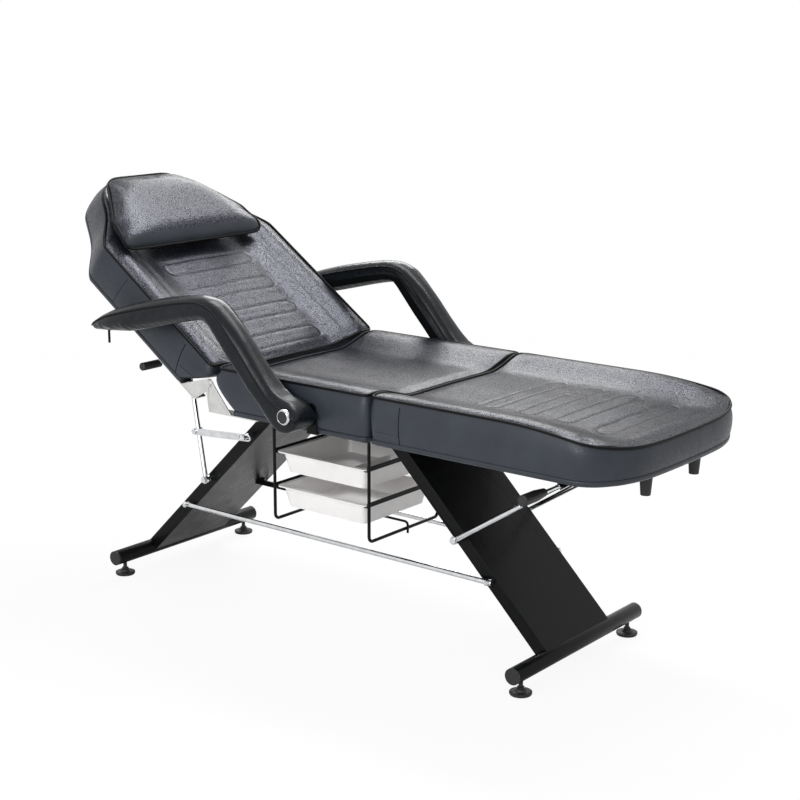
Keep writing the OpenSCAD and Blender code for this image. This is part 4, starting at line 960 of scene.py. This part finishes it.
def pillow_pad():
    """The head pillow's form: a crisp front face and a domed top that is lower at its sides."""
    plan = [Vector((s * PILLOW_LENGTH, w * PILLOW_HALF)) for s, w in PILLOW_PLAN]
    outline = [Vector((0, 0.5 * PILLOW_HALF))] + plan + [Vector((PILLOW_LENGTH, 0))]

    def top(x, v):
        rise = lookup(PILLOW_RISE, x) * (1 - 0.5 * abs(v) ** 6)
        return head_droop(x + PILLOW_FROM) + PILLOW_SEAM + rise

    return Pad(
        half=[Vector((0, 0))] + cut_corners(outline, 3),
        far_corner=past(240, 0.50 * PILLOW_HALF),
        top=top,
        lean=lambda f, x: 0,
        height=-1,
        place=PILLOW_PLACE,
        rows=PILLOW_ROWS,
    )


BACK_CHANNELS = [59 + 98 * k for k in range(4)]
REST_CHANNELS = [211 + 98 * k for k in range(4)]
CHANNEL_HALF = 21
CHANNEL_REACH = 153
# A channel sinks within its width, and the foam rises by a share of that beside it
CHANNEL_WIDE = 3.0
CHANNEL_SWELL = 0.4
SWELL_OFF = 12
SWELL_WIDE = 9


def channel_distance(p, channels):
    """Distance in plan from the nearest sewn channel of a cushion."""
    best = 99.0
    for x in channels:
        dy = max(abs(p.y) - (CHANNEL_REACH - CHANNEL_HALF), 0)
        best = min(best, abs(math.hypot(p.x - x, dy) - CHANNEL_HALF))
    return best


def channel_line(x):
    """One sewn channel: two long runs with round ends, in a cushion's plan."""
    reach = CHANNEL_REACH - CHANNEL_HALF
    line = []
    for sign in (1, -1):
        for k in range(13):
            t = math.pi * k / 12
            across = reach + CHANNEL_HALF * math.sin(t)
            line.append(Vector((x + sign * CHANNEL_HALF * math.cos(t), sign * across, 0)))
    return line + [line[0]]


def surface_of(piece):
    """A search tree over a piece's mesh."""
    bm = bmesh.new()
    bm.from_mesh(piece.data)
    found = BVHTree.FromBMesh(bm)
    bm.free()
    return found


def snap(tree, place, p, toward, lift=0.0):
    """The point that a ray in a pad's frame meets on its surface, lifted off it, in metres.

    The ray runs in the direction toward and passes through p.
    """
    start = place @ (p - toward * 60)
    way = (place.to_3x3() @ toward).normalized()
    hit = tree.ray_cast(start, way)[0]
    return (hit if hit else place @ p) - way * lift


def sew_channels(piece, pad, channels, deep, name, body):
    """Sinks the channels into a pad, deep in millimetres, and sews them."""
    back = pad.place.inverted()
    for v in piece.data.vertices:
        p = back @ v.co
        if p.z < -45 or abs(p.y) > CHANNEL_REACH + 30:
            continue
        d = channel_distance(p, channels)
        swell = CHANNEL_SWELL * math.exp(-(((d - SWELL_OFF) / SWELL_WIDE) ** 2))
        sink = math.exp(-((d / CHANNEL_WIDE) ** 2))
        v.co = pad.place @ (p + Vector((0, 0, deep * (swell - sink))))
    piece.data.update()
    tree = surface_of(piece)
    up = (pad.place.to_3x3() @ Vector((0, 0, 1))).normalized()
    down = Vector((0, 0, -1))
    lines = [
        [snap(tree, pad.place, p, down, 0.0003) for p in spread(channel_line(x), 6)] for x in channels
    ]
    stitches(name + "_channel_stitches", lines, up, sewing(), body)


def side_line(piece, pad, name, ends, diameter, skin, body):
    """A seam or a zip along both sides of a pad, between two (x, z) points of its frame."""
    tree = surface_of(piece)
    for side, word in ((-1, "one"), (1, "other")):
        line = spread([Vector((x, side * pad.width, z)) for x, z in ends], 6)
        path = [snap(tree, pad.place, p, Vector((0, -side, 0))) for p in line]
        tube(name + "_" + word, path, diameter, False, skin, body)


# Armrest rings from its tip to its pivot: points on the crest and the underside, from the pivot
# in shares of the armrest's length, with the share of its full width and how square its side is
ARM_CREST = [
    (-1.000, 0.184), (-0.975, 0.202), (-0.930, 0.226), (-0.875, 0.250), (-0.789, 0.278), (-0.689, 0.304),
    (-0.595, 0.324), (-0.518, 0.339), (-0.461, 0.348), (-0.417, 0.350), (-0.372, 0.342), (-0.339, 0.326),
    (-0.308, 0.299), (-0.275, 0.269), (-0.223, 0.214), (-0.176, 0.158), (-0.128, 0.104), (-0.092, 0.068),
    (-0.054, 0.046), (-0.018, 0.037), (0.012, 0.027), (0.033, 0.006), (0.043, -0.012),
]
ARM_UNDER = [
    (-0.996, 0.173), (-0.960, 0.170), (-0.920, 0.179), (-0.863, 0.187), (-0.774, 0.196), (-0.673, 0.219),
    (-0.583, 0.241), (-0.506, 0.260), (-0.452, 0.272), (-0.420, 0.278), (-0.396, 0.281), (-0.381, 0.278),
    (-0.362, 0.260), (-0.335, 0.228), (-0.283, 0.167), (-0.235, 0.116), (-0.185, 0.060), (-0.137, 0.016),
    (-0.098, -0.021), (-0.062, -0.052), (-0.033, -0.065), (0.000, -0.062), (0.030, -0.045),
]
ARM_WIDE = [0.2, 0.5, 0.76, 0.92] + [1] * 17 + [0.97, 0.86]
ARM_SQUARE = [0] * 15 + [0.1, 0.3, 0.6, 0.9, 1, 1, 1, 1]
ARM_LENGTH = 672
ARM_HALF = 43
ARM_CENTRE = Vector((95, -353.9, 574))


# Where the seam runs on a round and on a square ring: share of the height, and of the half width
ARM_SEAM_ROUND = (0.76, 0.79)
ARM_SEAM_SQUARE = (0.80, 0.99)


def arm_seam(side):
    """The line along one side of the near armrest where its top cover is sewn on, in millimetres."""
    line = []
    for crest, under, wide, square in zip(ARM_CREST, ARM_UNDER, ARM_WIDE, ARM_SQUARE):
        share, out = (
            a * (1 - square) + b * square for a, b in zip(ARM_SEAM_ROUND, ARM_SEAM_SQUARE)
        )
        x = under[0] + (crest[0] - under[0]) * share
        z = under[1] + (crest[1] - under[1]) * share
        y = side * out * wide * ARM_HALF
        line.append(ARM_CENTRE + Vector((x * ARM_LENGTH, y, z * ARM_LENGTH)))
    return line


class BED_OT_finishes(bpy.types.Operator):
    """Gives the steel, chrome, zinc, rubber and tray pieces their finishes"""

    bl_idname = "bed.finishes"
    bl_label = "Finishes of the rigid pieces"

    def execute(self, context):
        finish = {
            "black_paint": material("powder_coated_steel", powder_coat),
            "chrome": material("chrome_plated_steel", chrome_plate),
            "zinc_plate": material("zinc_plated_steel", zinc_plate),
            "black_board": material("spunbonded_dust_cover", dust_cover),
            "white_tray": material("moulded_abs", moulded_tray),
            "black_rubber": material("moulded_rubber", moulded_rubber),
            "black_leatherette": side_skin(),
        }
        cap = material("chrome_rimmed_cap", chrome_cap)
        slots = {part["node"]: part["material_slot"] for part in frame["record"]["subparts"]}
        for name, piece in frame["nodes"].items():
            piece.data.materials.clear()
            piece.data.materials.append(cap if name.startswith("arm_caps") else finish[slots[name]])
            soften_edges(piece)
        return {"FINISHED"}


def soften_edges(piece):
    """Rounds a rigid piece's edges a little, as pressed, cut and moulded edges are."""
    weld = piece.modifiers.new("weld", "WELD")
    weld.merge_threshold = 0.00001
    edge = piece.modifiers.new("edges", "BEVEL")
    edge.width = 0.0008
    edge.segments = 2
    edge.limit_method = "ANGLE"
    edge.angle_limit = math.radians(35)


class BED_OT_seat(bpy.types.Operator):
    """Builds the seat cushion with its piping and the wrapped board under it"""

    bl_idname = "bed.seat"
    bl_label = "Seat cushion"

    def execute(self, context):
        pad = seat_pad()
        piece = build_pad("seat_pad", pad, "base", "seat_cushion", 0.003, 0.005, 1)
        pipe_round("seat_piping", pad, "base")
        wrap_board("seat", pad, "base")
        return {"FINISHED"}


class BED_OT_backrest(bpy.types.Operator):
    """Builds the backrest cushion with its sewn channels, piping, side seams and zip"""

    bl_idname = "bed.backrest"
    bl_label = "Backrest cushion"

    def execute(self, context):
        pad = back_pad()
        piece = build_pad("backrest_pad", pad, "backrest", "backrest_cushion", 0.003, 0.005, 2)
        sew_channels(piece, pad, BACK_CHANNELS, 1.2, "backrest", "backrest")
        pipe_round("backrest_piping", pad, "backrest")
        wrap_board("backrest", pad, "backrest")
        for name, ends, wide, skin in (
            ("backrest_side_seam", ((98, -14), (86, -96)), 0.0022, piping_skin()),
            ("backrest_back_seam", ((337, -14), (346, -96)), 0.0012, piping_skin()),
            ("backrest_zip", ((31, -63), (82, -69)), 0.0030, sewing()),
        ):
            side_line(piece, pad, name, ends, wide, skin, "backrest")
        return {"FINISHED"}


class BED_OT_leg_rest(bpy.types.Operator):
    """Builds the leg rest cushion with its sewn channels, piping, side seam and zip"""

    bl_idname = "bed.leg_rest"
    bl_label = "Leg rest cushion"

    def execute(self, context):
        pad = rest_pad()
        piece = build_pad("leg_rest_pad", pad, "leg_rest", "rest_cushion", 0.003, 0.005, 2)
        sew_channels(piece, pad, REST_CHANNELS, 0.7, "leg_rest", "leg_rest")
        pipe_round("leg_rest_piping", pad, "leg_rest")
        wrap_board("leg_rest", pad, "leg_rest")
        for name, ends, wide, skin in (
            ("leg_rest_side_seam", ((86, -14), (86, -96)), 0.0022, piping_skin()),
            ("leg_rest_zip", ((14, -79), (82, -79)), 0.0030, sewing()),
        ):
            side_line(piece, pad, name, ends, wide, skin, "leg_rest")
        return {"FINISHED"}


class BED_OT_head_pillow(bpy.types.Operator):
    """Builds the head pillow with its plain front band and its piping"""

    bl_idname = "bed.head_pillow"
    bl_label = "Head pillow"

    def execute(self, context):
        pad = pillow_pad()
        piece = build_pad("pillow_pad", pad, "backrest", "head_pillow", 0.004, 0.004, 2)
        back = pad.place.inverted()
        for face in piece.data.polygons:
            if (back @ face.center).x < PILLOW_FRONT:
                face.material_index = 1
        pipe_round("pillow_piping", pad, "backrest")
        return {"FINISHED"}


class BED_OT_armrests(bpy.types.Operator):
    """Builds the two padded armrests with their piping"""

    bl_idname = "bed.armrests"
    bl_label = "Armrests"

    def execute(self, context):
        source = bmesh.new()
        source.from_mesh(frame["nodes"]["arm_pad_near"].data)
        bmesh.ops.remove_doubles(source, verts=source.verts, dist=0.00001)
        bmesh.ops.recalc_face_normals(source, faces=source.faces)
        skin = material("pvc_leathercloth_armrest", armrest_leathercloth)
        near = finish_mesh(source, "armrest_near_pad", [skin], None)
        m = near.modifiers.new("remesh", "REMESH")
        m.mode = "VOXEL"
        m.voxel_size = 0.006
        m = near.modifiers.new("smooth", "SMOOTH")
        m.factor = 0.5
        m.iterations = 4
        bake(near)
        inflate(near, [0.005] * len(near.data.vertices))
        subdivide(near, 1)
        near.data.polygons.foreach_set("use_smooth", [True] * len(near.data.polygons))
        far = bpy.data.objects.new("armrest_far_pad", near.data.copy())
        bpy.context.scene.collection.objects.link(far)
        far.data.transform(Matrix.Scale(-1, 4, (0, 1, 0)))
        far.data.flip_normals()
        for name, piece in (("near", near), ("far", far)):
            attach(piece, "armrest_" + name)
            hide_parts("arm_pad_" + name)
        tree = surface_of(near)
        thin = sizes().piping_diameter * 0.8
        for side, where in ((-1, "outer"), (1, "inner")):
            path = []
            for p in spread(arm_seam(side), 10):
                hit, normal, _, _ = tree.find_nearest(p * MM)
                path.append(hit + normal * 0.0008)
            for name, turn in (("near", 1), ("far", -1)):
                places = [Vector((p.x, turn * p.y, p.z)) for p in path]
                body = "armrest_" + name
                tube(body + "_piping_" + where, places, thin, False, piping_skin(), body)
        return {"FINISHED"}


SEEN_RAYS = ("Is Camera Ray", "Is Glossy Ray", "Is Transmission Ray")


def stage_floor(tree, place):
    """Matt white studio sweep: mostly its own white to the camera, so the shadow stays soft."""
    dust = add(tree, "ShaderNodeTexNoise", {"Vector": place, "Scale": 3.0})
    stops = [(0.0, "#EFEFEF"), (1.0, "#F4F4F4")]
    colour = add(tree, "ShaderNodeValToRGB", {"Fac": dust}, stops=stops)
    matt = add(tree, "ShaderNodeBsdfDiffuse", {"Color": colour})
    glow = add(tree, "ShaderNodeEmission", {"Color": (1, 1, 1, 1), "Strength": 1.0})
    path = add(tree, "ShaderNodeLightPath").node
    reach = add(tree, "ShaderNodeVectorMath", {0: place}, out="Value", operation="LENGTH")
    # The floor's own white grows from a share near the bed to 1 further out, in metres
    direct = {"Value": reach, "From Min": 1.2, "From Max": 4.0, "To Min": 0.90}
    mirrored = {"Value": reach, "From Min": 0.7, "From Max": 2.4, "To Min": 0.2}
    shares = []
    for ray, growth in zip(SEEN_RAYS, (direct, mirrored, mirrored)):
        own = add(tree, "ShaderNodeMapRange", growth)
        both = {0: path.outputs[ray], 1: own}
        shares.append(add(tree, "ShaderNodeMath", both, operation="MULTIPLY"))
    return add(tree, "ShaderNodeMixShader", {0: largest(tree, shares), 1: matt, 2: glow})


class BED_OT_stage(bpy.types.Operator):
    """Builds the floor, the studio lights and the camera"""

    bl_idname = "bed.stage"
    bl_label = "Stage"

    def execute(self, context):
        scene = bpy.context.scene
        bm = bmesh.new()
        bmesh.ops.create_grid(bm, x_segments=8, y_segments=8, size=30)
        mesh = bpy.data.meshes.new("stage_floor")
        bm.to_mesh(mesh)
        bm.free()
        floor = bpy.data.objects.new("stage_floor", mesh)
        scene.collection.objects.link(floor)
        mesh.materials.append(material("studio_floor", stage_floor))

        world = bpy.data.worlds.new("studio")
        scene.world = world
        world.use_nodes = True
        tree = world.node_tree
        tree.nodes.clear()
        path = add(tree, "ShaderNodeLightPath").node
        seen = largest(tree, [path.outputs[ray] for ray in SEEN_RAYS])
        dim = add(tree, "ShaderNodeBackground", {"Color": (1, 1, 1, 1), "Strength": 0.55})
        white = add(tree, "ShaderNodeBackground", {"Color": (1, 1, 1, 1), "Strength": 1.0})
        mix = add(tree, "ShaderNodeMixShader", {0: seen, 1: dim, 2: white})
        add(tree, "ShaderNodeOutputWorld", {"Surface": mix})

        aim = Vector((-0.05, 0, 0.45))
        lamps = [
            ("softbox_over", Vector((-0.1, 1.25, 3.2)), (2.6, 0.5), 66),
            ("softbox_far", Vector((-1.6, 2.3, 2.0)), (1.8, 0.6), 32),
            ("softbox_near", Vector((0.6, -2.8, 1.6)), (1.8, 1.4), 54),
        ]
        for name, spot, (wide, high), watts in lamps:
            lamp = bpy.data.lights.new(name, "AREA")
            lamp.shape = "RECTANGLE"
            lamp.size = wide
            lamp.size_y = high
            lamp.energy = watts
            holder = bpy.data.objects.new(name, lamp)
            scene.collection.objects.link(holder)
            turn = (aim - spot).to_track_quat("-Z", "Y").to_matrix().to_4x4()
            holder.matrix_world = Matrix.Translation(spot) @ turn

        lens = bpy.data.cameras.new("photo_camera")
        lens.lens = 73.57
        lens.sensor_width = 36
        lens.clip_end = 100
        camera = bpy.data.objects.new("photo_camera", lens)
        scene.collection.objects.link(camera)
        # The camera's place and turn were solved from the straight edges of the photograph
        camera.matrix_world = (
            Matrix.Translation((2.4727, -3.0048, 1.4496))
            @ Matrix.Rotation(0.6666, 4, "Z")
            @ Matrix.Rotation(math.pi / 2 - 0.2332, 4, "X")
            @ Matrix.Rotation(0.0028, 4, "Z")
        )
        scene.camera = camera
        scene.view_settings.view_transform = "Standard"
        return {"FINISHED"}


class BED_PT_panel(bpy.types.Panel):
    """Lists the steps that dress the bed"""

    bl_idname = "BED_PT_panel"
    bl_label = "Treatment Bed"
    bl_space_type = "VIEW_3D"
    bl_region_type = "UI"
    bl_category = "Treatment Bed"

    def draw(self, context):
        layout = self.layout
        for group in (context.scene.bed_sizes, context.scene.bed_colours):
            box = layout.box()
            for key in group.__annotations__:
                box.prop(group, key)
        for step in STEPS:
            layout.operator(step.bl_idname)


STEPS = (
    BED_OT_finishes,
    BED_OT_seat,
    BED_OT_backrest,
    BED_OT_leg_rest,
    BED_OT_head_pillow,
    BED_OT_armrests,
    BED_OT_stage,
)
CLASSES = (BedSizes, BedColours) + STEPS + (BED_PT_panel,)


def register():
    """Registers the classes and the scene's settings."""
    for c in CLASSES:
        bpy.utils.register_class(c)
    bpy.types.Scene.bed_sizes = bpy.props.PointerProperty(type=BedSizes)
    bpy.types.Scene.bed_colours = bpy.props.PointerProperty(type=BedColours)


def unregister():
    """Removes the scene's settings and the classes."""
    del bpy.types.Scene.bed_colours
    del bpy.types.Scene.bed_sizes
    for c in reversed(CLASSES):
        bpy.utils.unregister_class(c)


def main():
    """Builds the whole bed."""
    register()
    bpy.ops.bed.finishes()
    bpy.ops.bed.seat()
    bpy.ops.bed.backrest()
    bpy.ops.bed.leg_rest()
    bpy.ops.bed.head_pillow()
    bpy.ops.bed.armrests()
    bpy.ops.bed.stage()


if __name__ == "__main__":
    main()
